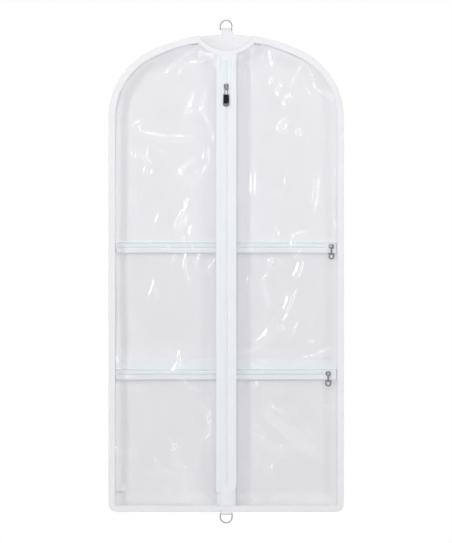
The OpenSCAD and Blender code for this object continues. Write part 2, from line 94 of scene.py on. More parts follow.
def ease(value: Array, low: float, high: float) -> Array:
    """Smooth step from 0 at low to 1 at high.

    Args:
        value: Numbers to map.
        low: Where the step begins.
        high: Where the step ends.

    Returns:
        The eased share for each number.
    """
    share = np.clip((value - low) / (high - low), 0.0, 1.0)
    return share * share * (3.0 - 2.0 * share)


def ripple(u: Array, v: Array, waves: Sequence[Wave]) -> Array:
    """Sum of sine waves, each with its size, its numbers along u and v, and its phase."""
    return sum(size * np.sin(ku * u + kv * v + phase) for size, ku, kv, phase in waves)


def run_length(points: Array) -> Array:
    """Length along a line up to each of its points."""
    return np.concatenate([[0.0], np.cumsum(np.linalg.norm(np.diff(points, axis=0), axis=1))])


# ---------------------------------------------------------------- sizes and outline


@dataclass(frozen=True)
class BagSizes:
    """Sizes of the bag in metres, as its solids have them."""

    width: float = 0.600
    height: float = 1.220
    depth: float = 0.060
    top_radius: float = 0.440
    shoulder_radius: float = 0.190
    corner_radius: float = 0.020
    top_z: float = 0.027
    vinyl: float = 0.0005
    fabric: float = 0.0008
    leaf: float = 0.0008
    binding: float = 0.016
    gap: float = 0.0002
    neck_radius: float = 0.085
    neck_drop: float = 0.042
    neck_width: float = 0.013
    zip_tape: float = 0.0007
    tape_reach: float = 0.024
    vinyl_reach: float = 0.013
    facing_width: float = 0.013
    gusset_join_drop: float = 0.329
    gusset_turnup: float = 0.060
    edge_in: float = 0.001
    pocket_depth: float = 0.009

    @property
    def bottom_z(self) -> float:
        """Height of the bottom edge."""
        return self.top_z - self.height

    @property
    def middle(self) -> Span:
        """Place in the middle of the bag, as (x, z)."""
        return 0.0, (self.top_z + self.bottom_z) / 2

    @property
    def crown_z(self) -> float:
        """Height of the centre of the arched top."""
        return self.top_z - self.top_radius

    @property
    def shoulder_x(self) -> float:
        """Distance of the shoulder arcs' centres from the middle."""
        return self.width / 2 - self.shoulder_radius

    @property
    def shoulder_z(self) -> float:
        """Height of the shoulder arcs' centres."""
        reach = self.top_radius - self.shoulder_radius
        return self.crown_z + math.sqrt(reach**2 - self.shoulder_x**2)

    @property
    def crown_angle(self) -> float:
        """Angle from the vertical at which the top arc meets a shoulder arc."""
        return math.atan2(self.shoulder_x, self.shoulder_z - self.crown_z)

    @property
    def neck_z(self) -> float:
        """Height of the scoop's centre."""
        return self.top_z - self.neck_drop + self.neck_radius

    @property
    def neck_out(self) -> float:
        """Radius of the neck binding's outer edge."""
        return self.neck_radius + self.neck_width

    @property
    def front_y(self) -> float:
        """Depth of the front sheet's outer face."""
        return -self.depth / 2

    @property
    def back_y(self) -> float:
        """Depth of the back sheet's outer face."""
        return self.depth / 2

    @property
    def lining_y(self) -> float:
        """Depth of the back sheet's inner face."""
        return self.back_y - self.fabric

    @property
    def wall_in(self) -> float:
        """Inset of the gusset's wall from the outline."""
        return self.binding + self.gap

    @property
    def inside_x(self) -> float:
        """Half the clear width between the gusset's walls."""
        return self.width / 2 - self.wall_in - self.vinyl - self.gap

    @property
    def inside_z(self) -> float:
        """Height of the bottom gusset's inner face."""
        return self.bottom_z + self.wall_in + self.vinyl + self.gap


@dataclass(frozen=True)
class Outline:
    """The bag's outline seen from the front: crown arc, shoulder arcs, straight sides, round corners."""

    sizes: BagSizes
    step: float = 4.0 * MM
    least_steps: int = 6
    corner_steps: int = 12

    def inset_of(self, x: Array, z: Array) -> Array:
        """Distance of points inside the outline.

        Args:
            x: Places across the bag.
            z: Heights.

        Returns:
            The inset, negative outside.
        """
        s = self.sizes
        across = np.abs(x)
        inset = np.minimum(s.width / 2 - across, z - s.bottom_z)
        corner_x = s.width / 2 - s.corner_radius
        corner_z = s.bottom_z + s.corner_radius
        corner = s.corner_radius - np.hypot(across - corner_x, z - corner_z)
        inset = np.where((across > corner_x) & (z < corner_z), corner, inset)
        crown = s.top_radius - np.hypot(x, z - s.crown_z)
        shoulder = s.shoulder_radius - np.hypot(across - s.shoulder_x, z - s.shoulder_z)
        lean = np.arctan2(across, z - s.crown_z)
        upper = np.where(lean < s.crown_angle, crown, shoulder)
        return np.where(z > s.shoulder_z, upper, inset)

    def meeting_angle(self, inset: float, radius: float) -> float:
        """Angle about the crown's centre at which an inset edge meets a circle on the scoop's centre.

        Args:
            inset: Inset of the edge.
            radius: Radius of the circle.

        Returns:
            The angle from the vertical.
        """
        s = self.sizes
        r, rise = s.top_radius - inset, s.neck_z - s.crown_z
        return math.acos((r**2 + rise**2 - radius**2) / (2 * r * rise))

    def _count(self, length: float) -> int:
        """Number of steps in a length."""
        return max(self.least_steps, round(length / self.step))

    def half_path(self, inset: float, start: float = 0.0) -> Array:
        """Right half of an inset edge, from the top to the middle of the bottom.

        Args:
            inset: Inset from the outline.
            start: Angle from the vertical at which the edge begins.

        Returns:
            Points (x, z), as many for every inset and start.
        """
        s, turn = self.sizes, math.pi / 2
        corner_x, corner_z = s.width / 2 - s.corner_radius, s.bottom_z + s.corner_radius
        parts = []
        for centre, radius, low, high, count in (
            ((0.0, s.crown_z), s.top_radius, start, s.crown_angle, self._count(s.top_radius * s.crown_angle)),
            (
                (s.shoulder_x, s.shoulder_z), s.shoulder_radius, s.crown_angle, turn,
                self._count(s.shoulder_radius * (turn - s.crown_angle)),
            ),
            ((corner_x, corner_z), s.corner_radius, turn, 2 * turn, self.corner_steps),
        ):
            angle, r = np.linspace(low, high, count + 1), radius - inset
            parts.append(np.stack([centre[0] + r * np.sin(angle), centre[1] + r * np.cos(angle)], 1))
        down = np.linspace(s.shoulder_z, corner_z, self._count(s.shoulder_z - corner_z) + 1)[1:]
        along = np.linspace(corner_x, 0.0, self._count(corner_x) + 1)[1:]
        return np.concatenate([
            parts[0],
            parts[1][1:],
            np.stack([np.full_like(down, s.width / 2 - inset), down], 1),
            parts[2][1:],
            np.stack([along, np.full_like(along, s.bottom_z + inset)], 1),
        ])

    def open_path(self, inset: float, start: float) -> Array:
        """An inset edge from the hanger opening's left round the bottom to its right, as points (x, z)."""
        half = self.half_path(inset, start)
        return np.concatenate([half * [-1, 1], half[::-1][1:]])

    def closed_path(self, inset: float) -> Array:
        """A whole inset edge as a closed loop of points (x, z)."""
        half = self.half_path(inset)
        return np.concatenate([half, half[::-1][1:-1] * [-1, 1]])


# ---------------------------------------------------------------- folds and wrinkles


@dataclass(frozen=True)
class Crease:
    """A fold line in a sheet, in millimetres from the origin."""

    points: tuple[Span, ...]
    width: float = 4.0
    steep: float = 0.37
    reach: float = 4.0
    blunt: float = 0.04
    fullness: float = 0.8

    def raise_at(self, x: Array, z: Array) -> Array:
        """How far the crease lifts the sheet.

        Args:
            x: Places across the bag in metres.
            z: Heights in metres.

        Returns:
            The lift in metres.
        """
        nodes = np.array(self.points) * MM
        width = self.width * MM
        lift = np.zeros_like(x)
        low, high = nodes.min(0) - self.reach * width, nodes.max(0) + self.reach * width
        near = (x > low[0]) & (x < high[0]) & (z > low[1]) & (z < high[1])
        if not near.any():
            return lift
        spot = np.stack([x[near], z[near]], 1)
        starts = run_length(nodes)
        best = np.full(len(spot), np.inf)
        along = np.zeros(len(spot))
        for start, end, a, b in zip(starts[:-1], starts[1:], nodes[:-1], nodes[1:], strict=True):
            share = np.clip((spot - a) @ (b - a) / ((b - a) @ (b - a)), 0, 1)
            away = np.linalg.norm(spot - a - share[:, None] * (b - a), axis=1)
            closer = away < best
            best = np.where(closer, away, best)
            along = np.where(closer, start + share * (end - start), along)
        taper = np.sin(np.pi * np.clip(along / starts[-1], self.blunt, 1 - self.blunt)) ** self.fullness
        height = self.steep * width * math.exp(0.5)
        lift[near] = height * taper * np.exp(-0.5 * (best / width) ** 2)
        return lift


@dataclass(frozen=True)
class CreaseRange:
    """Ranges from which creases are drawn at random, in millimetres and radians."""

    count: int
    reach: float
    heights: Span
    lean: Span
    lengths: Span
    widths: Span
    steeps: Span
    bow: float = 0.0

    def drawn(self, draw: np.random.Generator) -> list[Crease]:
        """Draws the creases.

        Args:
            draw: Source of the random numbers.

        Returns:
            The creases, bent in the middle where the range has a bow.
        """
        creases = []
        for _ in range(self.count):
            x, z = draw.uniform(-self.reach, self.reach), draw.uniform(*self.heights)
            lean, length = draw.normal(*self.lean), draw.uniform(*self.lengths)
            dx, dz = math.sin(lean) * length / 2, math.cos(lean) * length / 2
            points = [(x - dx, z - dz), (x + dx, z + dz)]
            if self.bow > 0:
                bow = draw.normal(0.0, self.bow) * length
                points.insert(1, (x + bow * math.cos(lean), z - bow * math.sin(lean)))
            creases.append(Crease(tuple(points), draw.uniform(*self.widths), draw.uniform(*self.steeps)))
        return creases


def lifted(x: Array, z: Array, folds: Sequence["Crease | Swell"]) -> Array:
    """Lift of several folds together, in metres."""
    return sum((fold.raise_at(x, z) for fold in folds), np.zeros_like(x))


@dataclass(frozen=True)
class Swell:
    """A broad soft bulge of the vinyl, in millimetres from the origin."""

    centre: Span
    reach: Span
    height: float

    def raise_at(self, x: Array, z: Array) -> Array:
        """How far the bulge lifts the sheet.

        Args:
            x: Places across the bag in metres.
            z: Heights in metres.

        Returns:
            The lift in metres.
        """
        u = (x - self.centre[0] * MM) / (self.reach[0] * MM)
        v = (z - self.centre[1] * MM) / (self.reach[1] * MM)
        return self.height * MM * np.exp(-(u * u) - v * v)


FRONT_SEAM = ((1.5 * MM, 0.0, 9.0, 0.6), (0.9 * MM, 4.0, 21.0, 2.0), (0.75 * MM, 13.0, 0.0, 1.0))
BACK_SEAM = ((1.0 * MM, 0.0, 7.0, 2.4), (0.6 * MM, -5.0, 17.0, 0.4))
STRAYS = CreaseRange(
    150, 280.0, heights=(-1165.0, 0.0), lean=(0.0, 0.7), lengths=(26.0, 105.0), widths=(3.2, 6.0),
    steeps=(0.1, 0.37), bow=0.18,
)


@dataclass
class Drape:
    """Soft shape of the sheets: waves of the seams, broad sags and sharp creases."""

    outline: Outline
    creases: tuple[Crease, ...]
    swells: tuple[Swell, ...]
    seed: int = 7
    sag_count: int = 14
    sag_lean: float = 0.5
    sag_lengths: Span = (0.12, 0.40)
    sag_shares: Span = (0.4, 1.0)
    sag_slope: float = 26.0 * MM
    sag_stretch: float = 0.45
    front_still: Span = (0.05, 0.13)
    back_still: Span = (0.04, 0.12)
    sag_hold: Span = (-2.0 * MM, 40.0 * MM)
    fold_hold: Span = (-2.0 * MM, 10.0 * MM)
    sags: list[Wave] = field(default_factory=list)

    def __post_init__(self) -> None:
        """Draws the broad waves and the small stray creases."""
        draw = np.random.default_rng(self.seed)
        for _ in range(self.sag_count):
            lean = draw.normal(0.0, self.sag_lean)
            number = TURN / draw.uniform(*self.sag_lengths)
            phase = draw.uniform(0, TURN)
            size = draw.uniform(*self.sag_shares) * self.sag_slope / number
            self.sags.append((size, number * math.cos(lean), self.sag_stretch * number * math.sin(lean), phase))
        self.creases = (*self.creases, *STRAYS.drawn(draw))

    def seam_front(self, x: Array, z: Array) -> Array:
        """Depth wave of the front seam, still along the middle."""
        return ripple(x, z, FRONT_SEAM) * ease(np.abs(x), *self.front_still)

    def seam_back(self, x: Array, z: Array) -> Array:
        """Depth wave of the back seam, still along the middle."""
        return ripple(x, z, BACK_SEAM) * ease(np.abs(x), *self.back_still)

    def front_film(self, x: Array, z: Array) -> Array:
        """Depth offset of the front sheets, held at their sewn edges.

        Args:
            x: Places across the bag.
            z: Heights.

        Returns:
            The offset from the flat sheet, towards the back where positive.
        """
        s = self.outline.sizes
        free = np.minimum(self.outline.inset_of(x, z) - s.binding, np.abs(x) - s.vinyl_reach - s.facing_width)
        free = np.minimum(free, np.hypot(x, z - s.neck_z) - s.neck_out)
        sag = ripple(x, z, self.sags) + lifted(x, z, self.swells)
        wrinkles = lifted(x, z, self.creases)
        return self.seam_front(x, z) - ease(free, *self.sag_hold) * sag - ease(free, *self.fold_hold) * wrinkles


# ---------------------------------------------------------------- meshes


def mesh_from(name: str, points: Array, faces: Sequence[Sequence[int]], uv: Array | None = None) -> Mesh:
    """Makes a smooth mesh.

    Args:
        name: Name of the mesh.
        points: Vertices in metres.
        faces: Vertex numbers of each face.
        uv: One (u, v) in metres for each vertex.

    Returns:
        The mesh.
    """
    mesh = bpy.data.meshes.new(name)
    mesh.from_pydata(points.tolist(), [], [list(f) for f in faces])
    if uv is not None:
        corner = np.zeros(len(mesh.loops), np.int32)
        mesh.loops.foreach_get("vertex_index", corner)
        mesh.uv_layers.new(name="UVMap").data.foreach_set("uv", uv[corner].astype(np.float32).ravel())
    mesh.polygons.foreach_set("use_smooth", np.ones(len(mesh.polygons), bool))
    mesh.set_sharp_from_angle(angle=SHARP_ANGLE)
    mesh.update()
    return mesh


def turned_out(mesh: Mesh) -> Mesh:
    """Points a closed mesh's faces outwards.

    Args:
        mesh: The mesh, which is changed.

    Returns:
        The same mesh.
    """
    bm = bmesh.new()
    bm.from_mesh(mesh)
    bmesh.ops.recalc_face_normals(bm, faces=bm.faces)
    bm.to_mesh(mesh)
    bm.free()
    return mesh


def grid_quads(number: Array) -> Array:
    """Faces between neighbours in a grid of vertex numbers, as (n, 4)."""
    corners = number[:-1, :-1], number[1:, :-1], number[1:, 1:], number[:-1, 1:]
    return np.stack(corners, -1).reshape(-1, 4)


def strip_uv(along: Array, across: Array) -> Array:
    """UVs of a strip from the lengths of a line along it and a line across it."""
    lengths = run_length(along)[:, None], run_length(across)[None, :]
    return np.stack(np.broadcast_arrays(*lengths), -1).reshape(-1, 2)


@dataclass(frozen=True)
class CutSheet:
    """A thin sheet cut to a shape that is given by its distance to the cut edge.

    A sheet of no thickness is one layer of faces that look to the front, as clear film needs.
    """

    cell: float
    low: Span
    high: Span
    inside: Field
    depth: Field
    thick: float = 0.0
    overhang: float = 0.4
    pulls: int = 3
    edge_step: float = 0.01 * MM
    face_step: float = 0.1 * MM

    @staticmethod
    def _slopes(height: Field, x: Array, z: Array, step: float) -> tuple[Array, Array]:
        """Slopes of a function of place along x and z."""
        along_x = (height(x + step, z) - height(x - step, z)) / (2 * step)
        return along_x, (height(x, z + step) - height(x, z - step)) / (2 * step)

    def _pulled(self, x: Array, z: Array, which: Array) -> tuple[Array, Array]:
        """Moves chosen points onto the cut edge.

        Args:
            x: Places across the bag.
            z: Heights.
            which: True for the points to move.

        Returns:
            The new places and heights.
        """
        for _ in range(self.pulls):
            off = self.inside(x, z)
            gx, gz = self._slopes(self.inside, x, z, self.edge_step)
            x, z = np.where(which, x - off * gx, x), np.where(which, z - off * gz, z)
        return x, z

    def mesh(self, name: str) -> Mesh:
        """Builds the sheet, with two sides and a rim where it has a thickness.

        Args:
            name: Name of the mesh.

        Returns:
            A mesh whose UVs are its places in metres.
        """
        lines = [
            np.linspace(low, high, max(2, round((high - low) / self.cell)) + 1)
            for low, high in zip(self.low, self.high, strict=True)
        ]
        gx, gz = np.meshgrid(*lines, indexing="ij")
        x, z = gx.ravel(), gz.ravel()
        quads = grid_quads(np.arange(x.size).reshape(gx.shape))
        quads = quads[(self.inside(x, z)[quads] > -self.overhang * self.cell).all(1)]
        used, quads = np.unique(quads, return_inverse=True)
        quads = quads.reshape(-1, 4)
        x, z = x[used], z[used]
        total = len(used)
        heads, tails = quads.ravel(), np.roll(quads, -1, axis=1).ravel()
        code = heads.astype(np.int64) * total + tails
        back = tails.astype(np.int64) * total + heads
        rim = ~np.isin(back, code)
        edge = np.zeros(total, bool)
        edge[heads[rim]] = edge[tails[rim]] = True
        x, z = self._pulled(x, z, edge)
        uv = np.stack([x, z], 1)
        middle = np.stack([x, self.depth(x, z), z], 1)
        if self.thick == 0.0:
            return mesh_from(name, middle, quads.tolist(), uv)
        sx, sz = self._slopes(self.depth, x, z, self.face_step)
        normal = np.stack([-sx, np.ones_like(sx), -sz], 1)
        normal *= self.thick / 2 / np.linalg.norm(normal, axis=1)[:, None]
        sides = np.stack([tails[rim], heads[rim], heads[rim] + total, tails[rim] + total], 1)
        faces = np.concatenate([quads, quads[:, ::-1] + total, sides])
        points = np.concatenate([middle - normal, middle + normal])
        return mesh_from(name, points, faces.tolist(), np.concatenate([uv, uv]))


def swept(name: str, grid: Array, closed: bool = False) -> Mesh:
    """Skins a closed profile that was carried along a path.

    Args:
        name: Name of the mesh.
        grid: Points as (stations, profile points, 3).
        closed: Whether the path comes back to its start.

    Returns:
        A closed mesh whose UVs run along and across the strip in metres.
    """
    stations, around = grid.shape[:2]
    number = np.arange(stations * around).reshape(stations, around)
    number = np.concatenate([number, number[:, :1]], 1)
    if closed:
        number = np.concatenate([number, number[:1]])
    faces = grid_quads(number).tolist()
    if not closed:
        last = (stations - 1) * around
        faces.append(list(range(around - 1, -1, -1)))
        faces.append(list(range(last, last + around)))
    uv = strip_uv(grid.mean(1), grid[stations // 2])
    return turned_out(mesh_from(name, grid.reshape(-1, 3), faces, uv))


def film_strip(name: str, grid: Array, middle: Span) -> Mesh:
    """Skins a strip of clear film as one layer that looks away from the bag's middle.

    Args:
        name: Name of the mesh.
        grid: Points as (stations, points across, 3).
        middle: Place inside the bag, as (x, z).

    Returns:
        An open mesh whose UVs run along and across the strip in metres.
    """
    stations, across = grid.shape[:2]
    faces = grid_quads(np.arange(stations * across).reshape(stations, across))
    i, j = stations // 2, across // 2
    normal = np.cross(grid[i + 1, j] - grid[i, j], grid[i, j + 1] - grid[i, j])
    if normal[0] * (grid[i, j, 0] - middle[0]) + normal[2] * (grid[i, j, 2] - middle[1]) < 0:
        faces = faces[:, ::-1]
    return mesh_from(name, grid.reshape(-1, 3), faces.tolist(), strip_uv(grid[:, j], grid[i]))


def thickened(line: Array, thick: float) -> Array:
    """Closed profile of a strip that follows a line.

    Args:
        line: Points of the strip's middle, as (n, 2).
        thick: Thickness of the strip.

    Returns:
        Points of the profile, down one side and back up the other.
    """
    slope = np.gradient(line, axis=0)
    slope /= np.linalg.norm(slope, axis=1)[:, None]
    normal = np.stack([-slope[:, 1], slope[:, 0]], 1) * thick / 2
    return np.concatenate([line + normal, (line - normal)[::-1]])


def piece(name: str, mesh: Mesh, finish: Material, slot: str, *nodes: str) -> Object:
    """Puts a mesh into the scene as a piece of the bag's body.

    Args:
        name: Name of the piece.
        mesh: Its mesh, in place.
        finish: Its material.
        slot: Not used.
        nodes: Solids that it stands for.

    Returns:
        The piece.
    """
    obj = bpy.data.objects.new(name, mesh)
    bpy.context.scene.collection.objects.link(obj)
    mesh.materials.clear()
    mesh.materials.append(finish)
    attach(obj, "bag")
    if nodes:
        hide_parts(*nodes)
    LOG.info("%s: %d faces", name, len(mesh.polygons))
    return obj


def dress(finish: Material, *nodes: str) -> None:
    """Gives solids that stay as they are their finish.

    Args:
        finish: The material.
        nodes: Names of the solids.
    """
    for node in nodes:
        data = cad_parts[node].data
        data.materials.clear()
        data.materials.append(finish)
        LOG.info("%s dressed in %s", node, finish.name)


# ---------------------------------------------------------------- node trees


class Graph:
    """A node tree under construction."""

    def __init__(self, tree: NodeTree) -> None:
        """Starts from an emptied tree."""
        self.tree = tree
        tree.nodes.clear()

    def add(self, kind: str, settings: dict | None = None, **sockets: object) -> bpy.types.Node:
        """Adds a node.

        Args:
            kind: Blender's name of the node type.
            settings: Properties of the node.
            sockets: Values or source sockets by input name, with underscores for spaces, or iN for input N.

        Returns:
            The node.
        """
        node = self.tree.nodes.new(kind)
        for key, value in (settings or {}).items():
            setattr(node, key, value)
        for key, value in sockets.items():
            numbered = key[0] == "i" and key[1:].isdigit()
            target = node.inputs[int(key[1:]) if numbered else key.replace("_", " ")]
            if isinstance(value, Socket):
                self.tree.links.new(value, target)
            else:
                target.default_value = value
        return node

    def math(self, operation: str, *values: object) -> Socket:
        """Adds a Math node and gives its output."""
        inputs = {f"i{n}": value for n, value in enumerate(values)}
        return self.add("ShaderNodeMath", {"operation": operation}, **inputs).outputs[0]

    def around(self, value: Socket, swing: float, base: float) -> Socket:
        """Adds swing times a value to a base and gives the output."""
        return self.math("ADD", self.math("MULTIPLY", value, swing), base)

    def tinted(self, colour: Colour, shade: Socket) -> Socket:
        """Adds a colour times a shade and gives the output.

        Args:
            colour: The colour at a shade of 1.
            shade: The varying shade.

        Returns:
            The colour's socket.
        """
        grey = self.add("ShaderNodeCombineXYZ", X=shade, Y=shade, Z=shade).outputs[0]
        settings = {"data_type": "RGBA", "blend_type": "MULTIPLY"}
        return self.add("ShaderNodeMix", settings, i0=1.0, i6=(*colour, 1.0), i7=grey).outputs[2]

    def skin(self, **sockets: object) -> None:
        """Ends a material with a Principled shader that has these inputs."""
        shader = self.add("ShaderNodeBsdfPrincipled", **sockets)
        self.add("ShaderNodeOutputMaterial", Surface=shader.outputs[0])


class ShaderGroups:
    """Shader node groups that several finishes share."""

    def __init__(self) -> None:
        """Builds each group once."""
        self.mottle = self._mottle()
        self.weave = {kind: self._weave(kind) for kind in Weave}

    @staticmethod
    def _group(name: str, inputs: dict[str, float], outputs: Sequence[str]) -> tuple[Graph, dict]:
        """Starts a group with float sockets.

        Args:
            name: Name of the group.
            inputs: Labels and values of its inputs.
            outputs: Labels of its outputs.

        Returns:
            Its graph and its input sockets by label.
        """
        tree = bpy.data.node_groups.new(name, "ShaderNodeTree")
        for label, value in inputs.items():
            tree.interface.new_socket(label, in_out="INPUT", socket_type="NodeSocketFloat").default_value = value
        for label in outputs:
            tree.interface.new_socket(label, in_out="OUTPUT", socket_type="NodeSocketFloat")
        graph = Graph(tree)
        return graph, {s.name: s for s in graph.add("NodeGroupInput").outputs}

    def _mottle(self) -> NodeTree:
        """Soft uneven shade, and a finer one for roughness."""
        graph, given = self._group("Uneven shade", {"Scale": 40.0, "Amount": 0.05}, ["Shade", "Fine"])
        place = graph.add("ShaderNodeTexCoord").outputs["Object"]
        broad = graph.add("ShaderNodeTexNoise", Vector=place, Scale=given["Scale"], Detail=3.0)
        fine = graph.add("ShaderNodeTexNoise", Vector=place, Scale=900.0, Detail=2.0)
        swing = graph.math("MULTIPLY", graph.math("SUBTRACT", broad.outputs[0], 0.5), given["Amount"])
        graph.add("NodeGroupOutput", Shade=graph.around(swing, 2.0, 1.0), Fine=fine.outputs[0])
        return graph.tree

    def _weave(self, kind: Weave) -> NodeTree:
        """Relief of crossing threads that follow the piece's UVs in metres.

        Args:
            kind: How the threads cross.

        Returns:
            The group, whose relief runs from 0 to 1.
        """
        graph, given = self._group(f"Threads {kind.value}", {"Pitch": 0.8 * MM}, ["Relief"])
        uv = graph.add("ShaderNodeUVMap", {"uv_map": "UVMap"}).outputs[0]
        split = graph.add("ShaderNodeSeparateXYZ", Vector=uv)
        warp, weft = (
            graph.math("MULTIPLY", graph.math("DIVIDE", split.outputs[n], given["Pitch"]), TURN) for n in (0, 1)
        )
        if kind is Weave.PLAIN:
            parts = graph.math("SINE", warp), graph.math("SINE", weft)
        elif kind is Weave.TWILL:
            lean = graph.math("SINE", graph.math("ADD", warp, weft))
            parts = lean, graph.math("ABSOLUTE", graph.math("SINE", weft))
        else:
            rib = graph.math("SINE", graph.math("MULTIPLY", weft, 0.5))
            parts = graph.math("ABSOLUTE", rib), graph.math("COSINE", warp)
        graph.add("NodeGroupOutput", Relief=graph.around(graph.math("MULTIPLY", *parts), 0.5, 0.5))
        return graph.tree


def shader_graph(name: str) -> tuple[Material, Graph]:
    """Starts a material.

    Args:
        name: Its name.

    Returns:
        The material and its empty node graph.
    """
    material = bpy.data.materials.new(name)
    material.use_nodes = True
    return material, Graph(material.node_tree)


@dataclass(frozen=True)
class ClothFinish:
    """Woven cloth or thread."""

    name: str
    colour: Colour
    weave: Weave
    pitch: float
    relief: float = 0.35
    mottle: float = 0.02
    scale: float = 40.0
    roughness: float = 0.82

    def material(self, groups: ShaderGroups) -> Material:
        """Builds the material.

        Args:
            groups: The shared groups.

        Returns:
            The material.
        """
        material, graph = shader_graph(self.name)
        uneven = graph.add("ShaderNodeGroup", {"node_tree": groups.mottle}, Scale=self.scale, Amount=self.mottle)
        threads = graph.add("ShaderNodeGroup", {"node_tree": groups.weave[self.weave]}, Pitch=self.pitch)
        relief, fine = threads.outputs["Relief"], uneven.outputs["Fine"]
        # The thread relief also dims the colour a little in the dips between threads: painted shade. The uneven
        # shade is tone that varies at random.
        shade = graph.math("MULTIPLY", graph.around(relief, 0.06, 0.95), uneven.outputs["Shade"])
        height = graph.math("ADD", relief, graph.math("MULTIPLY", fine, 0.5))
        bump = graph.add("ShaderNodeBump", Strength=self.relief, Distance=0.25 * MM, Height=height)
        graph.skin(
            Base_Color=graph.tinted(self.colour, shade), Roughness=graph.around(fine, 0.16, self.roughness - 0.08),
            Normal=bump.outputs[0], Sheen_Weight=0.08, Specular_IOR_Level=0.25,
        )
        return material


@dataclass(frozen=True)
class FilmFinish:
    """Clear glossy vinyl that shows what is behind it."""

    name: str
    tint: Colour = (0.97, 0.97, 0.98)
    gloss: float = 0.06
    rim: float = 0.45
    roughness: float = 0.09

    def material(self, groups: ShaderGroups) -> Material:
        """Builds the material, whose Alpha is the share of light that the film mirrors.

        Args:
            groups: The shared groups.

        Returns:
            The material.
        """
        material, graph = shader_graph(self.name)
        place = graph.add("ShaderNodeTexCoord").outputs["Object"]
        uneven = graph.add("ShaderNodeGroup", {"node_tree": groups.mottle}, Scale=26.0, Amount=0.3)
        waves = graph.add("ShaderNodeTexNoise", Vector=place, Scale=55.0, Detail=3.0, Distortion=0.8)
        settings = {"noise_type": "RIDGED_MULTIFRACTAL"}
        ridges = graph.add("ShaderNodeTexNoise", settings, Vector=place, Scale=11.0, Detail=2.0)
        height = graph.math("ADD", waves.outputs[0], graph.math("MULTIPLY", ridges.outputs[0], 1.1))
        bump = graph.add("ShaderNodeBump", Strength=0.25, Distance=1.6 * MM, Height=height)
        face = graph.add("ShaderNodeLayerWeight", Blend=0.5, Normal=bump.outputs[0]).outputs["Facing"]
        edge = graph.math("MULTIPLY", graph.math("POWER", face, 5.0), self.rim)
        share = graph.math("ADD", edge, graph.math("MULTIPLY", uneven.outputs["Shade"], self.gloss))
        graph.skin(
            Base_Color=(*self.tint, 1.0), Roughness=graph.around(uneven.outputs["Fine"], 0.05, self.roughness),
            Normal=bump.outputs[0], Alpha=share, Metallic=1.0,
        )
        return material


@dataclass(frozen=True)
class MetalFinish:
    """Plated metal with soft edges, shallow dents and faint rub marks."""

    name: str
    colour: Colour
    roughness: float
    worn_edge: float

    def material(self, groups: ShaderGroups) -> Material:
        """Builds the material.

        Args:
            groups: The shared groups.

        Returns:
            The material.
        """
        material, graph = shader_graph(self.name)
        uneven = graph.add("ShaderNodeGroup", {"node_tree": groups.mottle}, Scale=260.0, Amount=0.25)
        place = graph.add("ShaderNodeTexCoord").outputs["Object"]
        streak = graph.add("ShaderNodeMapping", Vector=place, Scale=(900.0, 900.0, 160.0)).outputs[0]
        marks = graph.add("ShaderNodeTexNoise", Vector=streak, Scale=1.0, Detail=2.0)
        dents = graph.add("ShaderNodeTexNoise", Vector=place, Scale=230.0, Detail=0.0)
        height = graph.math("ADD", dents.outputs[0], graph.math("MULTIPLY", marks.outputs[0], 0.02))
        worn = graph.add("ShaderNodeBevel", {"samples": 6}, Radius=self.worn_edge)
        bump = graph.add("ShaderNodeBump", Strength=0.6, Distance=0.45 * MM, Height=height, Normal=worn.outputs[0])
        graph.skin(
            Base_Color=graph.tinted(self.colour, uneven.outputs["Shade"]),
            Roughness=graph.around(uneven.outputs["Fine"], 0.14, self.roughness - 0.05),
            Normal=bump.outputs[0], Metallic=1.0,
        )
        return material


@dataclass(frozen=True)
class PlasticFinish:
    """Moulded plastic or monofilament."""

    name: str
    colour: Colour
    roughness: float

    def material(self, groups: ShaderGroups) -> Material:
        """Builds the material.

        Args:
            groups: The shared groups.

        Returns:
            The material.
        """
        material, graph = shader_graph(self.name)
        uneven = graph.add("ShaderNodeGroup", {"node_tree": groups.mottle}, Scale=300.0, Amount=0.06)
        fine = uneven.outputs["Fine"]
        bump = graph.add("ShaderNodeBump", Strength=0.1, Distance=0.05 * MM, Height=fine)
        graph.skin(
            Base_Color=graph.tinted(self.colour, uneven.outputs["Shade"]),
            Roughness=graph.around(fine, 0.1, self.roughness - 0.05), Normal=bump.outputs[0],
        )
        return material


class Finishes:
    """All materials of the bag."""

    def __init__(self) -> None:
        """Builds each finish once."""
        groups = ShaderGroups()
        back = ClothFinish("back_cloth", (0.888, 0.882, 0.906), Weave.PLAIN, 1.1 * MM, 0.3, 0.025, 14.0)
        binding = ClothFinish("binding_tape", (0.888, 0.883, 0.908), Weave.RIB, 1.4 * MM, 0.4, 0.03)
        tape = ClothFinish("zip_tape", (0.87, 0.90, 0.92), Weave.TWILL, 1.2 * MM)
        webbing = ClothFinish("webbing", (0.86, 0.86, 0.88), Weave.RIB, 2.2 * MM, 0.6, 0.04)
        label = ClothFinish("label_satin", (0.90, 0.90, 0.91), Weave.TWILL, 0.6 * MM, 0.15, 0.02, 60.0, 0.5)
        thread = ClothFinish("thread", (0.91, 0.91, 0.93), Weave.PLAIN, 0.5 * MM, 0.2)
        self.back = back.material(groups)
        self.binding = binding.material(groups)
        self.tape = tape.material(groups)
        self.webbing = webbing.material(groups)
        self.label = label.material(groups)
        self.thread = thread.material(groups)
        self.vinyl = FilmFinish("clear_vinyl").material(groups)
        self.thin_vinyl = FilmFinish("thin_clear_vinyl", gloss=0.034, rim=0.35).material(groups)
        self.metal = MetalFinish("cast_nickel", (0.54, 0.535, 0.54), 0.13, 1.2 * MM).material(groups)
        self.dull_metal = MetalFinish("dull_nickel", (0.88, 0.88, 0.89), 0.5, 0.2 * MM).material(groups)
        self.wire = MetalFinish("ring_wire", (0.46, 0.455, 0.46), 0.13, 0.1 * MM).material(groups)
        self.inlay = PlasticFinish("pull_inlay", (0.006, 0.0055, 0.0065), 0.22).material(groups)
        self.coil = PlasticFinish("coil_filament", (0.90, 0.925, 0.94), 0.38).material(groups)


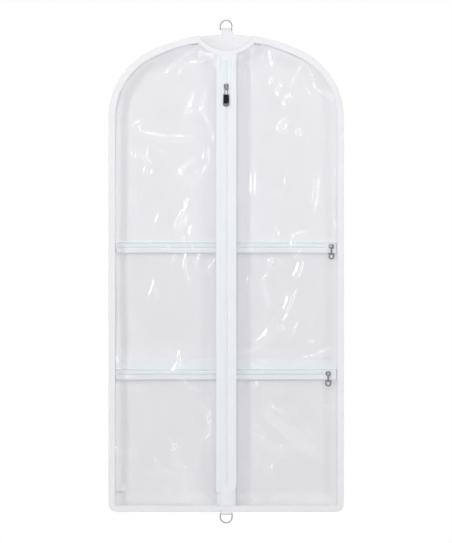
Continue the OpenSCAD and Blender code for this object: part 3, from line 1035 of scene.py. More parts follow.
# ---------------------------------------------------------------- rows of stitches and coil turns


@dataclass(frozen=True)
class BeadRow:
    """Small rounded beads set along lines: stitches of thread or the turns of a zip's coil."""

    spacing: float
    length: float
    width: float
    height: float
    slant: float = 0.0
    jitter: float = 0.0
    core: float = 0.0
    core_shift: Place = (0.0, 0.0, 0.0)
    core_sides: int = 8
    segments: int = 6
    rings: int = 4
    seed: int = 3

    def _values(self, finish: Material) -> dict[str, object]:
        """Values of the row's Geometry Nodes inputs.

        Args:
            finish: Material of the beads.

        Returns:
            The values by label.
        """
        return {
            "Spacing": self.spacing, "Length": self.length, "Width": self.width, "Height": self.height,
            "Slant": math.radians(self.slant), "Jitter": self.jitter, "Core": self.core,
            "Core shift": self.core_shift, "Finish": finish,
        }

    def _tree(self, name: str, values: dict[str, object]) -> tuple[NodeTree, dict[str, str]]:
        """Builds the row's Geometry Nodes tree.

        Args:
            name: Name of the tree.
            values: Values of its inputs by label.

        Returns:
            The tree and the identifiers of its inputs by label.
        """
        tree = bpy.data.node_groups.new(name, "GeometryNodeTree")
        face, names = tree.interface, {}
        face.new_socket("Geometry", in_out="INPUT", socket_type="NodeSocketGeometry")
        kinds = {float: "NodeSocketFloat", tuple: "NodeSocketVector", Material: "NodeSocketMaterial"}
        for label, value in values.items():
            names[label] = face.new_socket(label, in_out="INPUT", socket_type=kinds[type(value)]).identifier
        face.new_socket("Geometry", in_out="OUTPUT", socket_type="NodeSocketGeometry")
        graph = Graph(tree)
        given = {s.name: s for s in graph.add("NodeGroupInput").outputs}
        curve = graph.add("GeometryNodeMeshToCurve", Mesh=given["Geometry"]).outputs[0]
        spots = graph.add("GeometryNodeCurveToPoints", {"mode": "LENGTH"}, Curve=curve, Length=given["Spacing"])
        ball = graph.add("GeometryNodeMeshUVSphere", Segments=self.segments, Rings=self.rings, Radius=0.5)
        scale = graph.add("ShaderNodeCombineXYZ", X=given["Length"], Y=given["Height"], Z=given["Width"])
        sized = graph.add("GeometryNodeTransform", Geometry=ball.outputs[0], Scale=scale.outputs[0])
        lean = graph.add("ShaderNodeCombineXYZ", Y=given["Slant"])
        bead = graph.add("GeometryNodeTransform", Geometry=sized.outputs[0], Rotation=lean.outputs[0])
        turn = graph.add("FunctionNodeAlignRotationToVector", {"axis": "X"}, Vector=spots.outputs["Tangent"])
        chance = graph.add(
            "FunctionNodeRandomValue", {"data_type": "FLOAT"}, Seed=self.seed,
            i2=graph.math("SUBTRACT", 1.0, given["Jitter"]), i3=graph.math("ADD", 1.0, given["Jitter"]),
        )
        placed = graph.add(
            "GeometryNodeInstanceOnPoints", Points=spots.outputs[0], Instance=bead.outputs[0],
            Rotation=turn.outputs[0], Scale=chance.outputs[1],
        )
        row = graph.add("GeometryNodeRealizeInstances", Geometry=placed.outputs[0]).outputs[0]
        if self.core > 0:
            ring = graph.add("GeometryNodeCurvePrimitiveCircle", Resolution=self.core_sides, Radius=given["Core"])
            cord = graph.add("GeometryNodeCurveToMesh", Curve=curve, Profile_Curve=ring.outputs[0], Fill_Caps=True)
            moved = graph.add("GeometryNodeTransform", Geometry=cord.outputs[0], Translation=given["Core shift"])
            joined = graph.add("GeometryNodeJoinGeometry", Geometry=row)
            tree.links.new(moved.outputs[0], joined.inputs[0])
            row = joined.outputs[0]
        smooth = graph.add("GeometryNodeSetShadeSmooth", Geometry=row)
        done = graph.add("GeometryNodeSetMaterial", Geometry=smooth.outputs[0], Material=given["Finish"])
        graph.add("NodeGroupOutput", Geometry=done.outputs[0])
        return tree, names

    def mesh(self, name: str, lines: Sequence[Array], finish: Material) -> Mesh:
        """Sets the beads along lines and makes them a plain mesh.

        Args:
            name: Name of the mesh.
            lines: Polylines as (n, 3).
            finish: Material of the beads.

        Returns:
            The mesh.
        """
        points, edges = [], []
        for line in lines:
            start = len(points)
            points += np.asarray(line).tolist()
            edges += [(i, i + 1) for i in range(start, len(points) - 1)]
        guide = bpy.data.meshes.new(f"{name}_line")
        guide.from_pydata(points, edges, [])
        holder = bpy.data.objects.new(f"{name}_line", guide)
        bpy.context.scene.collection.objects.link(holder)
        values = self._values(finish)
        tree, names = self._tree(f"{name} row", values)
        row = holder.modifiers.new("row", "NODES")
        row.node_group = tree
        for label, value in values.items():
            row[names[label]] = value
        made = bpy.data.meshes.new_from_object(holder.evaluated_get(bpy.context.evaluated_depsgraph_get()))
        holder.modifiers.remove(row)
        bpy.data.objects.remove(holder)
        made.name = name
        return made


@dataclass(frozen=True)
class Coil:
    """One row of a zip's coil: slanted turns over an inner cord."""

    pitch: float
    turn: float
    width: float
    height: float
    inset: float
    core: float
    core_in: float
    slant: float = 9.0
    segments: int = 6
    rings: int = 4

    def build(self, name: str, node: str, ends: Sequence[Place], away: Place, finish: Material) -> None:
        """Builds the row beside a zip's line.

        Args:
            name: Name of the piece.
            node: The solid that it stands for.
            ends: First and last point on the zip's line and the tape's face.
            away: Direction from the zip's line to the row.
            finish: Material of the coil.
        """
        side = np.array(away)
        line = np.array(ends) + side * (self.inset + self.width / 2) - [0.0, self.height / 2, 0.0]
        row = BeadRow(
            self.pitch, self.turn, self.width, self.height, slant=self.slant * sum(away), core=self.core,
            core_shift=tuple((-self.core_in * side).tolist()), segments=self.segments, rings=self.rings,
        )
        piece(name, row.mesh(name, [line], finish), finish, "zip_coil", node)


STITCH = BeadRow(spacing=3.6 * MM, length=2.9 * MM, width=0.55 * MM, height=0.45 * MM, jitter=0.08)


def stitches(name: str, lines: Sequence[Array], thread: Material, slot: str) -> Object:
    """Sews a piece of stitches along lines."""
    return piece(name, STITCH.mesh(name, lines, thread), thread, slot)


# ---------------------------------------------------------------- sub-assemblies

BACK_FOLDS = CreaseRange(
    34, 270.0, heights=(-1150.0, -20.0), lean=(0.1, 0.35), lengths=(90.0, 330.0), widths=(11.0, 22.0),
    steeps=(0.02, 0.07),
)


@dataclass
class Shell:
    """Back sheet, the two clear front halves and the gusset strips."""

    sizes: BagSizes
    outline: Outline
    drape: Drape
    finishes: Finishes
    back_cell: float = 5.0 * MM
    front_cell: float = 2.75 * MM
    back_area: float = 0.702
    front_area: float = 0.331
    fold_seed: int = 11
    back_wave: float = 1.4 * MM
    pocket_seams: tuple[float, ...] = (-0.502, -0.812, -0.827, -1.172)
    seam_hold: Span = (0.014, 0.06)
    edge_hold: Span = (0.017, 0.07)
    hung_hold: Span = (0.017, 0.030)
    gusset_sag: float = 3.5 * MM
    gusset_width: float = 0.088
    shoulder_length: float = 0.44
    side_length: float = 0.83
    bottom_length: float = 0.70
    lips: tuple[float, ...] = (1.5 * MM, 5.0 * MM, 9.0 * MM, 13.0 * MM, 15.6 * MM)
    wall_from: float = 15.5 * MM
    wall_steps: int = 16

    def build(self) -> None:
        """Builds every sheet of the shell."""
        self._back()
        for side in Side:
            self._front(side)
        self._gusset()

    def _back(self) -> None:
        """The white back sheet with its soft folds, held where the pockets are sewn on."""
        s = self.sizes
        folds = BACK_FOLDS.drawn(np.random.default_rng(self.fold_seed))

        def inside(x: Array, z: Array) -> Array:
            """Distance to the cut edge."""
            return self.outline.inset_of(x, z) - s.edge_in

        def depth(x: Array, z: Array) -> Array:
            """Depth of the sheet's middle.

            Args:
                x: Places across the bag.
                z: Heights.

            Returns:
                The depths.
            """
            inset = self.outline.inset_of(x, z)
            loose = np.ones_like(x)
            for seam in self.pocket_seams:
                loose = loose * ease(np.abs(z - seam), *self.seam_hold)
            free = ease(inset, *self.edge_hold) * loose
            hung = 1 - ease(inset, *self.hung_hold) * (1 - loose)
            wave = np.sin(11.0 * x + 3.0 * z) * np.sin(6.0 * z + 1.0) + 0.4 * np.sin(31.0 * x - 17.0 * z)
            still = s.back_y - s.fabric / 2 + hung * self.drape.seam_back(x, z)
            return still + free * (self.back_wave * wave + lifted(x, z, folds))

        half = s.width / 2
        sheet = CutSheet(self.back_cell, (-half, s.bottom_z), (half, s.top_z), inside, depth, s.fabric)
        cloth = piece("back_cloth", sheet.mesh("back_cloth"), self.finishes.back, "back_fabric", "back_panel")

    def _front(self, side: Side) -> None:
        """One clear half of the front, with its sags and creases.

        Args:
            side: Side of the bag.
        """
        s, sign = self.sizes, side.value

        def inside(x: Array, z: Array) -> Array:
            """Distance to the cut edge."""
            clear = np.minimum(self.outline.inset_of(x, z) - s.edge_in, sign * x - s.vinyl_reach)
            return np.minimum(clear, np.hypot(x, z - s.neck_z) - s.neck_radius - s.edge_in)

        def depth(x: Array, z: Array) -> Array:
            """Depth of the sheet's middle."""
            return s.front_y + s.vinyl / 2 + self.drape.front_film(x, z)

        near, far = sorted((sign * s.vinyl_reach, sign * s.width / 2))
        sheet = CutSheet(self.front_cell, (near, s.bottom_z), (far, s.top_z), inside, depth)
        name = f"front_film_{side.word}"
        film = piece(name, sheet.mesh(name), self.finishes.vinyl, "clear_vinyl", f"front_panel_{side.word}")

    def _gusset(self) -> None:
        """The clear strips between front and back, one for each solid."""
        s = self.sizes
        cut = self.outline.meeting_angle(s.wall_in, s.neck_out + s.leaf + 2 * s.gap)
        front, back = s.front_y + 1.5 * s.vinyl, s.lining_y - s.vinyl / 2
        lips, across = np.array(self.lips), np.linspace(front, back, self.wall_steps + 1)[1:-1]
        line = np.concatenate([
            np.stack([lips, np.full_like(lips, front)], 1),
            np.stack([np.full_like(across, s.wall_in + s.vinyl / 2), across], 1),
            np.stack([lips[::-1], np.full_like(lips, back)], 1),
        ])
        path = np.stack([self.outline.half_path(inset, cut) for inset in line[:, 0]], 1)
        ends = [self._gusset_half(side, path, line, (line[:, 1] - front) / (back - front)) for side in Side]
        whole = np.concatenate([ends[0], ends[1][::-1][1:]])
        self._gusset_film("gusset_bottom_film", whole, "gusset_bottom", self.bottom_length)

    def _gusset_half(self, side: Side, path: Array, line: Array, share: Array) -> Array:
        """Bends one half of the gusset and cuts it at its joins.

        Args:
            side: Side of the bag.
            path: Points (x, z) as (stations, points across, 2), from the neck to the bottom's middle.
            line: Inset and depth of each point across.
            share: Each point's way from front to back, from 0 to 1.

        Returns:
            The points that are left for the bottom strip.
        """
        s, sign, phase = self.sizes, side.value, 1.3 * side.value
        x, z = path[..., 0], path[..., 1]
        along = run_length(path[:, 0])[:, None]
        belly = np.where(line[:, 0] > self.wall_from, np.sin(np.pi * np.clip(share, 0, 1)), 0.0)
        waves = ((1.0, 11.0, 0.0, phase), (0.7, 27.0, 3.0, 2.0 * phase), (0.35, 71.0, 0.0, 0.0))
        sway = ripple(along, share, waves)
        pleat = np.sin(330.0 * along + 5.0 * np.sin(37.0 * along + phase)) * np.sin(19.0 * along + phase) ** 2
        pleat = pleat * np.clip(np.cos(np.pi * share) ** 2 + 0.25, 0, 1)
        pull = self.gusset_sag * belly * (0.35 + 0.5 * sway + 0.22 * pleat) * ease(along, 0.0, 0.05)
        dx, dz = np.gradient(x, axis=0), np.gradient(z, axis=0)
        size = np.hypot(dx, dz)
        gx, gz = x + pull * dz / size, z - pull * dx / size
        y = line[:, 1] + (1 - share) * self.drape.seam_front(sign * x, z) + share * self.drape.seam_back(sign * x, z)
        grid = np.stack([sign * gx, y, gz], -1)
        heights = path[:, 0, 1]
        join = int(np.argmax(heights < s.top_z - s.gusset_join_drop))
        turnup = int(np.argmax(heights < s.bottom_z + s.gusset_turnup))
        parts = {
            "shoulder": (grid[: join + 1], self.shoulder_length), "side": (grid[join : turnup + 1], self.side_length)
        }
        for kind, (part, length) in parts.items():
            self._gusset_film(f"gusset_{kind}_film_{side.word}", part, f"gusset_{kind}_{side.word}", length)
        return grid[turnup:]

    def _gusset_film(self, name: str, grid: Array, node: str, length: float) -> None:
        """One strip of the gusset.

        Args:
            name: Name of the piece.
            grid: Its points as (stations, points across, 3).
            node: The solid that it stands for.
            length: Not used.
        """
        mesh = film_strip(name, grid, self.sizes.middle)
        film = piece(name, mesh, self.finishes.vinyl, "clear_vinyl", node)


PUCKER = ((0.22 * MM, 190.0, 0.0, 0.0), (0.176 * MM, 67.0, 0.0, 1.0), (0.11 * MM, 431.0, 0.0, 2.0))


@dataclass
class Bindings:
    """Woven tape folded over the front seam, the back seam and the hanger opening."""

    sizes: BagSizes
    outline: Outline
    drape: Drape
    finishes: Finishes
    front_flat: Span = (0.0345, 3.27)
    back_flat: Span = (0.035, 3.42)
    neck_flat: Span = (0.0285, 0.19)
    neck_side_flat: Span = (0.0275, 0.055)
    stitch_in: float = 13.2 * MM
    neck_stitch_in: float = 2.6 * MM
    stitch_lift: float = 0.15 * MM
    bend_share: float = 0.8
    bend_steps: int = 6
    leaf_start: float = 0.16
    leaf_points: int = 6
    crown: float = 0.12 * MM
    groove_in: float = 1.0 * MM
    puff: float = 0.16 * MM
    neck_steps: int = 60
    side_slit: float = 0.05 * MM
    side_bow: float = 0.25 * MM
    side_points: int = 16

    def build(self) -> None:
        """Builds the tapes and their rows of stitches."""
        self._front()
        self._back()
        self._neck()
        for side in Side:
            self._neck_side(side)

    def _fold(self, width: float, slot: Span, faces: Span) -> Array:
        """Profile of a folded tape as (inset, depth).

        Args:
            width: Width of the folded tape.
            slot: Depths between which the sewn sheets lie.
            faces: Depths of the outer faces at the front and at the back.

        Returns:
            A closed loop of points.
        """
        front, back = faces
        middle, half = (front + back) / 2, (back - front) / 2
        turn = np.linspace(-math.pi / 2, math.pi / 2, self.bend_steps + 1)
        bend = np.stack([half * self.bend_share * (1 - np.cos(turn)), middle + half * np.sin(turn)], 1)
        leaf = np.linspace(width, self.leaf_start * width, self.leaf_points)
        crown = self.crown * np.sin(np.pi * np.linspace(0, 1, self.leaf_points))
        outer = np.stack([leaf, front - crown], 1)
        inner = np.stack([leaf[::-1], back + crown[::-1]], 1)
        deep = self.groove_in
        groove = np.array([(width, slot[1]), (deep, slot[1]), (deep, slot[0]), (width, slot[0])])
        return np.concatenate([outer, bend, inner, groove])

    def _carry(self, profile: Array, paths: Callable[[float], Array], wave: Field, width: float) -> Array:
        """Carries a profile along a seam, with the seam's wave and the tape's puckers.

        Args:
            profile: Points as (inset, depth).
            paths: Gives the seam's path at an inset.
            wave: Depth wave of the seam.
            width: Width of the folded tape.

        Returns:
            Points as (stations, profile points, 3).
        """
        inset, level = profile[:, 0], profile[:, 1]
        path = np.stack([paths(d) for d in inset], 1)
        x, z = path[..., 0], path[..., 1]
        along = run_length(path[:, 0])[:, None]
        puff = self.puff * np.sin(260.0 * along) * np.sin(41.0 * along + 0.7)
        y = level + wave(x, z) + puff * np.sign(level - level.mean()) * ease(inset, 0.0, 0.004)
        inward = path[:, inset.argmax()] - path[:, inset.argmin()]
        inward /= np.linalg.norm(inward, axis=1)[:, None]
        slip = ripple(along, 0.0, PUCKER) * ease(inset, 0.5 * width, width)
        return np.stack([x + slip * inward[:, :1], y, z + slip * inward[:, 1:]], -1)

    def _bind(
        self, word: str, slot: Span, width: float, paths: Callable[[float], Array], line: Array, wave: Field,
        flat: Span, closed: bool = False,
    ) -> None:
        """Folds a tape over a seam and sews it on both faces.

        Args:
            word: Which binding.
            slot: Depths between which the sewn sheets lie.
            width: Width of the folded tape.
            paths: Gives the seam's path at an inset.
            line: Points (x, z) of the stitches.
            wave: Depth wave of the seam.
            flat: Not used.
            closed: Whether the seam comes back to its start.
        """
        faces = slot[0] - self.sizes.leaf, slot[1] + self.sizes.leaf
        grid = self._carry(self._fold(width, slot, faces), paths, wave, width)
        name = f"{word}_binding_tape"
        tape = piece(name, swept(name, grid, closed), self.finishes.binding, "binding", f"{word}_binding")
        rows = []
        for y in (faces[0] - self.stitch_lift, faces[1] + self.stitch_lift):
            rows.append(np.stack([line[:, 0], y + wave(line[:, 0], line[:, 1]), line[:, 1]], 1))
        if closed:
            rows.reverse()
        sewn = stitches(f"{word}_binding_stitches", rows, self.finishes.thread, "binding")

    def _front(self) -> None:
        """Tape round the front seam, open at the hanger opening."""
        s = self.sizes

        def paths(inset: float) -> Array:
            """Path of the tape at an inset."""
            return self.outline.open_path(inset, self.outline.meeting_angle(inset, s.neck_out + s.gap))

        slot = (s.front_y, s.front_y + 2 * s.vinyl)
        line = paths(self.stitch_in)
        self._bind("front", slot, s.binding, paths, line, self.drape.seam_front, self.front_flat)

    def _back(self) -> None:
        """Tape round the whole back seam."""
        s, paths = self.sizes, self.outline.closed_path
        slot = (s.lining_y - s.vinyl, s.back_y)
        line = paths(self.stitch_in)
        line = np.concatenate([line, line[:1]])
        self._bind("back", slot, s.binding, paths, line, self.drape.seam_back, self.back_flat, True)

    def _neck(self) -> None:
        """Tape round the scooped front edge of the hanger opening."""
        s = self.sizes
        rise = s.neck_z - s.crown_z

        def paths(inset: float) -> Array:
            """Path of the tape at an inset, ending at the bag's outline.

            Args:
                inset: Distance from the scoop's edge.

            Returns:
                Points (x, z).
            """
            r = s.neck_radius + inset
            reach = math.acos((r**2 + rise**2 - s.top_radius**2) / (2 * r * rise))
            turn = np.linspace(-reach, reach, self.neck_steps + 1)
            return np.stack([r * np.sin(turn), s.neck_z - r * np.cos(turn)], 1)

        slot = (s.front_y, s.front_y + s.vinyl + s.zip_tape)
        line = paths(s.neck_width - self.neck_stitch_in)[1:-1]
        self._bind("neck", slot, s.neck_width, paths, line, self.drape.seam_front, self.neck_flat)

    def _neck_side(self, side: Side) -> None:
        """Tape folded over the gusset's end beside the hanger opening.

        Args:
            side: Side of the bag.
        """
        s, sign = self.sizes, side.value
        cut = self.outline.meeting_angle(s.wall_in + s.vinyl / 2, s.neck_out + s.leaf + 2 * s.gap)
        radius = s.top_radius - s.wall_in - s.vinyl / 2
        lean = cut + (s.neck_width / 2 - s.leaf - s.gap) / radius
        reach = s.vinyl / 2 + s.gap + s.leaf
        profile = self._fold(s.neck_width, (-self.side_slit, self.side_slit), (-reach, reach))
        u, v = profile[:, 0] - s.neck_width / 2, profile[:, 1]
        from_y = s.front_y + 2 * s.vinyl + s.leaf + s.gap
        to_y = s.lining_y - s.vinyl - s.leaf - s.gap
        y = np.linspace(from_y, to_y, self.side_points)[:, None]
        out = radius + v + self.side_bow * np.sin(np.linspace(0, 3 * math.pi, self.side_points))[:, None]
        x = out * math.sin(lean) + u * math.cos(lean)
        z = s.crown_z + out * math.cos(lean) - u * math.sin(lean)
        name = f"neck_side_tape_{side.word}"
        mesh = swept(name, np.stack(np.broadcast_arrays(sign * x, y, z), -1))
        tape = piece(name, mesh, self.finishes.binding, "binding", f"neck_side_{side.word}")


NECK_FOLDS = (
    Crease(((-31, -30), (-22, -52), (-14, -76)), 2.6, 0.36),
    Crease(((-22, -30), (-13, -60)), 2.4, 0.33),
    Crease(((24, -30), (14, -66)), 2.6, 0.25),
)


@dataclass
class CentreZip:
    """Full-length zip: tapes, facings, coil rows, and the slider with its pull."""

    sizes: BagSizes
    finishes: Finishes
    tape_in: float = 0.1 * MM
    tape_cell: float = 2.6 * MM
    tape_length: float = 1.162
    tape_wave: float = 0.08 * MM
    tape_hold: Span = (0.010, 0.02)
    coil: Coil = Coil(
        pitch=1.75 * MM, turn=1.25 * MM, width=4.2 * MM, height=2.4 * MM, inset=-0.5 * MM, core=1.0 * MM,
        core_in=0.55 * MM, segments=8, rings=6,
    )
    coil_end: float = 1.0 * MM
    coil_top_drop: float = 66.0 * MM
    coil_rise: float = 68.0 * MM
    facing_rise: float = 51.0 * MM
    facing_thick: float = 0.7 * MM
    facing_cell: float = 2.2 * MM
    facing_length: float = 1.142
    facing_cut: float = 9.0 * MM
    facing_lift: float = 0.30 * MM
    facing_clear: float = 0.1 * MM
    facing_hold: float = 0.018
    stitch_in: float = 1.8 * MM
    stitch_lift: float = 0.45 * MM
    stitch_drop: float = 6.0 * MM
    stitch_rise: float = 11.0 * MM
    stitch_points: int = 300

    def build(self) -> None:
        """Builds both sides and dresses the hardware."""
        for side in Side:
            self._tape(side)
            self._facing(side)
            self._coil(side)
        dress(self.finishes.metal, "zip_slider", "zip_pull")
        dress(self.finishes.dull_metal, "zip_top_stops", "zip_bottom_stop")
        dress(self.finishes.inlay, "zip_pull_inlay")

    def _tape(self, side: Side) -> None:
        """Woven tape that carries one coil row.

        Args:
            side: Side of the bag.
        """
        s, sign = self.sizes, side.value

        def inside(x: Array, z: Array) -> Array:
            """Distance to the cut edge.

            Args:
                x: Places across the bag.
                z: Heights.

            Returns:
                The distances, negative outside.
            """
            across = np.minimum(sign * x - self.tape_in, s.tape_reach - sign * x)
            round_neck = np.hypot(x, z - s.neck_z) - s.neck_radius - s.edge_in
            return np.minimum(np.minimum(across, z - s.inside_z), round_neck)

        def depth(x: Array, z: Array) -> Array:
            """Depth of the tape's middle."""
            wave = self.tape_wave * np.sin(60.0 * z) * ease(np.abs(x), *self.tape_hold)
            return s.front_y + s.vinyl + s.zip_tape / 2 + wave

        near, far = sorted((sign * self.tape_in, sign * s.tape_reach))
        sheet = CutSheet(self.tape_cell, (near, s.inside_z), (far, s.top_z), inside, depth, s.zip_tape)
        name = f"zip_tape_cloth_{side.word}"
        tape = piece(name, sheet.mesh(name), self.finishes.tape, "zip_tape", f"zip_tape_{side.word}")

    def _facing(self, side: Side) -> None:
        """White strip sewn over the sheet's edge beside the zip, cut slanting at the foot on the right.

        Args:
            side: Side of the bag.
        """
        s, sign = self.sizes, side.value
        low, edge = s.bottom_z + self.facing_rise, s.vinyl_reach + s.facing_width

        def inside(x: Array, z: Array) -> Array:
            """Distance to the cut edge.

            Args:
                x: Places across the bag.
                z: Heights.

            Returns:
                The distances, negative outside.
            """
            across = np.minimum(sign * x - s.vinyl_reach, edge - sign * x)
            clear = np.minimum(across, z - low)
            if side is Side.RIGHT:
                clear = np.minimum(clear, (z - low - (x - edge) - self.facing_cut) / math.sqrt(2))
            return np.minimum(clear, np.hypot(x, z - s.neck_z) - s.neck_out - s.gap)

        def depth(x: Array, z: Array) -> Array:
            """Depth of the strip's middle.

            Args:
                x: Places across the bag.
                z: Heights.

            Returns:
                The depths.
            """
            wave = np.abs(np.sin(47.0 * z) + np.sin(113.0 * z + 1.0)) * ease(np.abs(x), self.facing_hold, edge)
            lift = self.facing_lift * wave + lifted(x, z, NECK_FOLDS)
            return s.front_y - self.facing_thick / 2 - self.facing_clear - lift

        near, far = sorted((sign * s.vinyl_reach, sign * edge))
        sheet = CutSheet(self.facing_cell, (near, low), (far, s.top_z), inside, depth, self.facing_thick)
        name = f"zip_facing_cloth_{side.word}"
        strip = piece(name, sheet.mesh(name), self.finishes.tape, "zip_tape", f"zip_facing_{side.word}")
        top = s.neck_z - s.neck_out - self.stitch_drop
        z = np.linspace(top, low + self.stitch_rise, self.stitch_points)
        rows = []
        for reach in (s.vinyl_reach + self.stitch_in, edge - self.stitch_in):
            x = np.full_like(z, sign * reach)
            rows.append(np.stack([x, depth(x, z) - self.stitch_lift, z], 1))
        sewn = stitches(f"zip_facing_stitches_{side.word}", rows, self.finishes.thread, "zip_tape")

    def _coil(self, side: Side) -> None:
        """Row of slanted coil turns along the tape's inner edge.

        Args:
            side: Side of the bag.
        """
        s, y = self.sizes, self.sizes.front_y + self.sizes.vinyl
        late = self.coil.pitch / 2 if side is Side.RIGHT else 0.0
        top = s.top_z - self.coil_top_drop - self.coil_end - late
        ends = (0.0, y, top), (0.0, y, s.bottom_z + self.coil_rise + self.coil_end)
        name, node = f"zip_coil_turns_{side.word}", f"zip_coil_{side.word}"
        self.coil.build(name, node, ends, (side.value, 0, 0), self.finishes.coil)


@dataclass
class Pocket:
    """One full-width inner pocket: clear sheet, zip tapes, coil rows, slider and pull."""

    name: str
    sizes: BagSizes
    finishes: Finishes
    zip_z: float
    foot_z: float
    end_z: float
    seed: int
    sheet_cell: float = 4.0 * MM
    sheet_allowance: float = 2.0 * MM
    sheet_hold: float = 30.0 * MM
    sheet_seam: float = 12.0 * MM
    crease_count: int = 46
    tape_off: float = 0.8 * MM
    tape_width: float = 15.0 * MM
    tape_seat: float = 5.0 * MM
    tape_in: float = 0.1 * MM
    tape_turn: float = 0.94
    lap: float = 7.0 * MM
    rise: float = 24.0 * MM
    end_turn: float = 2.0 * MM
    end_clear: float = 0.1 * MM
    step_clear: float = 7.1 * MM
    stitch_lift: float = 0.1 * MM
    stitch_side: float = 2.0 * MM
    stitch_drop: float = 2.2 * MM
    stitch_rises: Span = (2.0 * MM, 5.0 * MM)
    coil: Coil = Coil(
        pitch=1.4 * MM, turn=1.02 * MM, width=3.5 * MM, height=2.0 * MM, inset=-0.42 * MM, core=0.85 * MM,
        core_in=0.45 * MM,
    )
    coil_side: float = 5.6 * MM

    @property
    def sheet_y(self) -> float:
        """Depth of the pocket sheet's front face."""
        return self.sizes.lining_y - self.sizes.pocket_depth

    @property
    def tape_y(self) -> float:
        """Depth of the zip tapes' front face."""
        return self.sheet_y - self.sizes.zip_tape

    def build(self) -> None:
        """Builds the pocket's cloth and dresses its hardware."""
        self._sheet()
        self._tape_top()
        self._tape_bottom()
        for level in Level:
            self._coil(level)
        dress(self.finishes.metal, f"{self.name}_slider", f"{self.name}_pull")
        dress(self.finishes.dull_metal, f"{self.name}_stops")

    def _end_fall(self, x: Array) -> Array:
        """How far the pocket's ends have turned back to the back sheet, from 0 to 1."""
        return ease(np.abs(x), self.sizes.inside_x - self.end_turn, self.sizes.inside_x - self.end_clear)

    def _sheet(self) -> None:
        """Clear pocket front that returns to the back sheet at its foot."""
        s = self.sizes
        top = self.zip_z - self.tape_off - self.tape_width + self.lap
        flat, back = self.sheet_y + s.vinyl / 2, s.lining_y - s.vinyl / 2
        creases = CreaseRange(
            self.crease_count, 280.0, heights=(self.foot_z / MM, top / MM), lean=(0.2, 0.8), lengths=(18.0, 70.0),
            widths=(3.5, 8.0), steeps=(0.03, 0.12),
        ).drawn(np.random.default_rng(self.seed))
        waves = ((1.0 * MM, 9.0, 5.0, self.seed), (0.6 * MM, 23.0, -11.0, 0.0))

        def inside(x: Array, z: Array) -> Array:
            """Distance to the cut edge."""
            return np.minimum(s.inside_x - np.abs(x), np.minimum(z - self.end_z, top - z))

        def depth(x: Array, z: Array) -> Array:
            """Depth of the sheet's middle.

            Args:
                x: Places across the bag.
                z: Heights.

            Returns:
                The depths.
            """
            fall = np.maximum(ease(-z, -self.foot_z - self.rise, -self.foot_z), self._end_fall(x))
            clear = np.minimum(s.inside_x - np.abs(x), top - self.sheet_seam - z)
            free = ease(clear, 0.0, self.sheet_hold) * (1 - fall)
            return flat + (back - flat) * fall - free * (ripple(x, z, waves) + lifted(x, z, creases))

        sheet = CutSheet(self.sheet_cell, (-s.inside_x, self.end_z), (s.inside_x, top), inside, depth)
        name = f"{self.name}_pocket_film"
        film = piece(name, sheet.mesh(name), self.finishes.thin_vinyl, "clear_vinyl", f"{self.name}_pocket_sheet")

    def _across(self, level: Level, line: Array) -> Object:
        """Carries a tape's section across the bag.

        Args:
            level: Which tape.
            line: Points (depth, height) of the section's middle.

        Returns:
            The tape.
        """
        s, profile = self.sizes, thickened(line, self.sizes.zip_tape)
        end = s.inside_x - np.linspace(0.0, self.end_turn, 7)
        x = np.concatenate([-end, np.linspace(-end[-1], end[-1], 141)[1:-1], end[::-1]])[:, None]
        y, back = profile[:, 0], s.lining_y - s.zip_tape
        y = y + self.tape_turn * self._end_fall(x) * (back - np.minimum(y, back))
        name = f"{self.name}_tape_cloth_{level.word}"
        mesh = swept(name, np.stack(np.broadcast_arrays(x, y, profile[:, 1]), -1))
        return piece(name, mesh, self.finishes.tape, "zip_tape", f"{self.name}_tape_{level.word}")

    def _rows(self, level: Level, y: float, heights: Sequence[float]) -> Object:
        """Rows of stitches across the bag.

        Args:
            level: Which tape they hold.
            y: Their depth.
            heights: Their heights.

        Returns:
            The stitches.
        """
        reach = self.sizes.inside_x - self.stitch_side
        rows = [np.array([(-reach, y, z), (reach, y, z)]) for z in heights]
        return stitches(f"{self.name}_stitches_{level.word}", rows, self.finishes.thread, "zip_tape")

    def _tape_top(self) -> None:
        """Upper tape, sewn to the back sheet and stepping forward to the coil."""
        s, tape = self.sizes, self.sizes.zip_tape
        top = self.zip_z + self.tape_off + self.tape_width
        near, far = self.tape_y + tape / 2, s.lining_y - tape / 2
        step, seat = self.zip_z + self.step_clear, top - self.tape_seat
        z = np.concatenate([
            np.linspace(self.zip_z + self.tape_in, step, 6),
            np.linspace(step, seat, 9)[1:],
            np.linspace(seat, top, 5)[1:],
        ])
        y = near + (far - near) * np.clip((z - step) / (seat - step), 0, 1)
        line = np.stack([y, z], 1)
        cloth = self._across(Level.TOP, line)
        sewn = self._rows(Level.TOP, s.lining_y - tape - self.stitch_lift, [top - self.stitch_drop])
        flat = (2 * s.inside_x, float(run_length(line)[-1]))

    def _tape_bottom(self) -> None:
        """Lower tape, sewn to the pocket sheet."""
        s = self.sizes
        low = self.zip_z - self.tape_off - self.tape_width
        z = np.linspace(self.zip_z - self.tape_in, low, 10)
        line = np.stack([np.full_like(z, self.tape_y + s.zip_tape / 2), z], 1)
        cloth = self._across(Level.BOTTOM, line)
        heights = [low + rise for rise in self.stitch_rises]
        sewn = self._rows(Level.BOTTOM, self.tape_y - self.stitch_lift, heights)
        flat = (2 * s.inside_x, float(run_length(line)[-1]))

    def _coil(self, level: Level) -> None:
        """Row of coil turns beside the zip's line.

        Args:
            level: Which row.
        """
        reach = self.sizes.inside_x - self.coil_side
        late = self.coil.pitch / 2 if level is Level.TOP else 0.0
        ends = (late - reach, self.tape_y, self.zip_z), (reach, self.tape_y, self.zip_z)
        name, node = f"{self.name}_coil_turns_{level.word}", f"{self.name}_coil_{level.word}"
        self.coil.build(name, node, ends, (0, 0, level.value), self.finishes.coil)


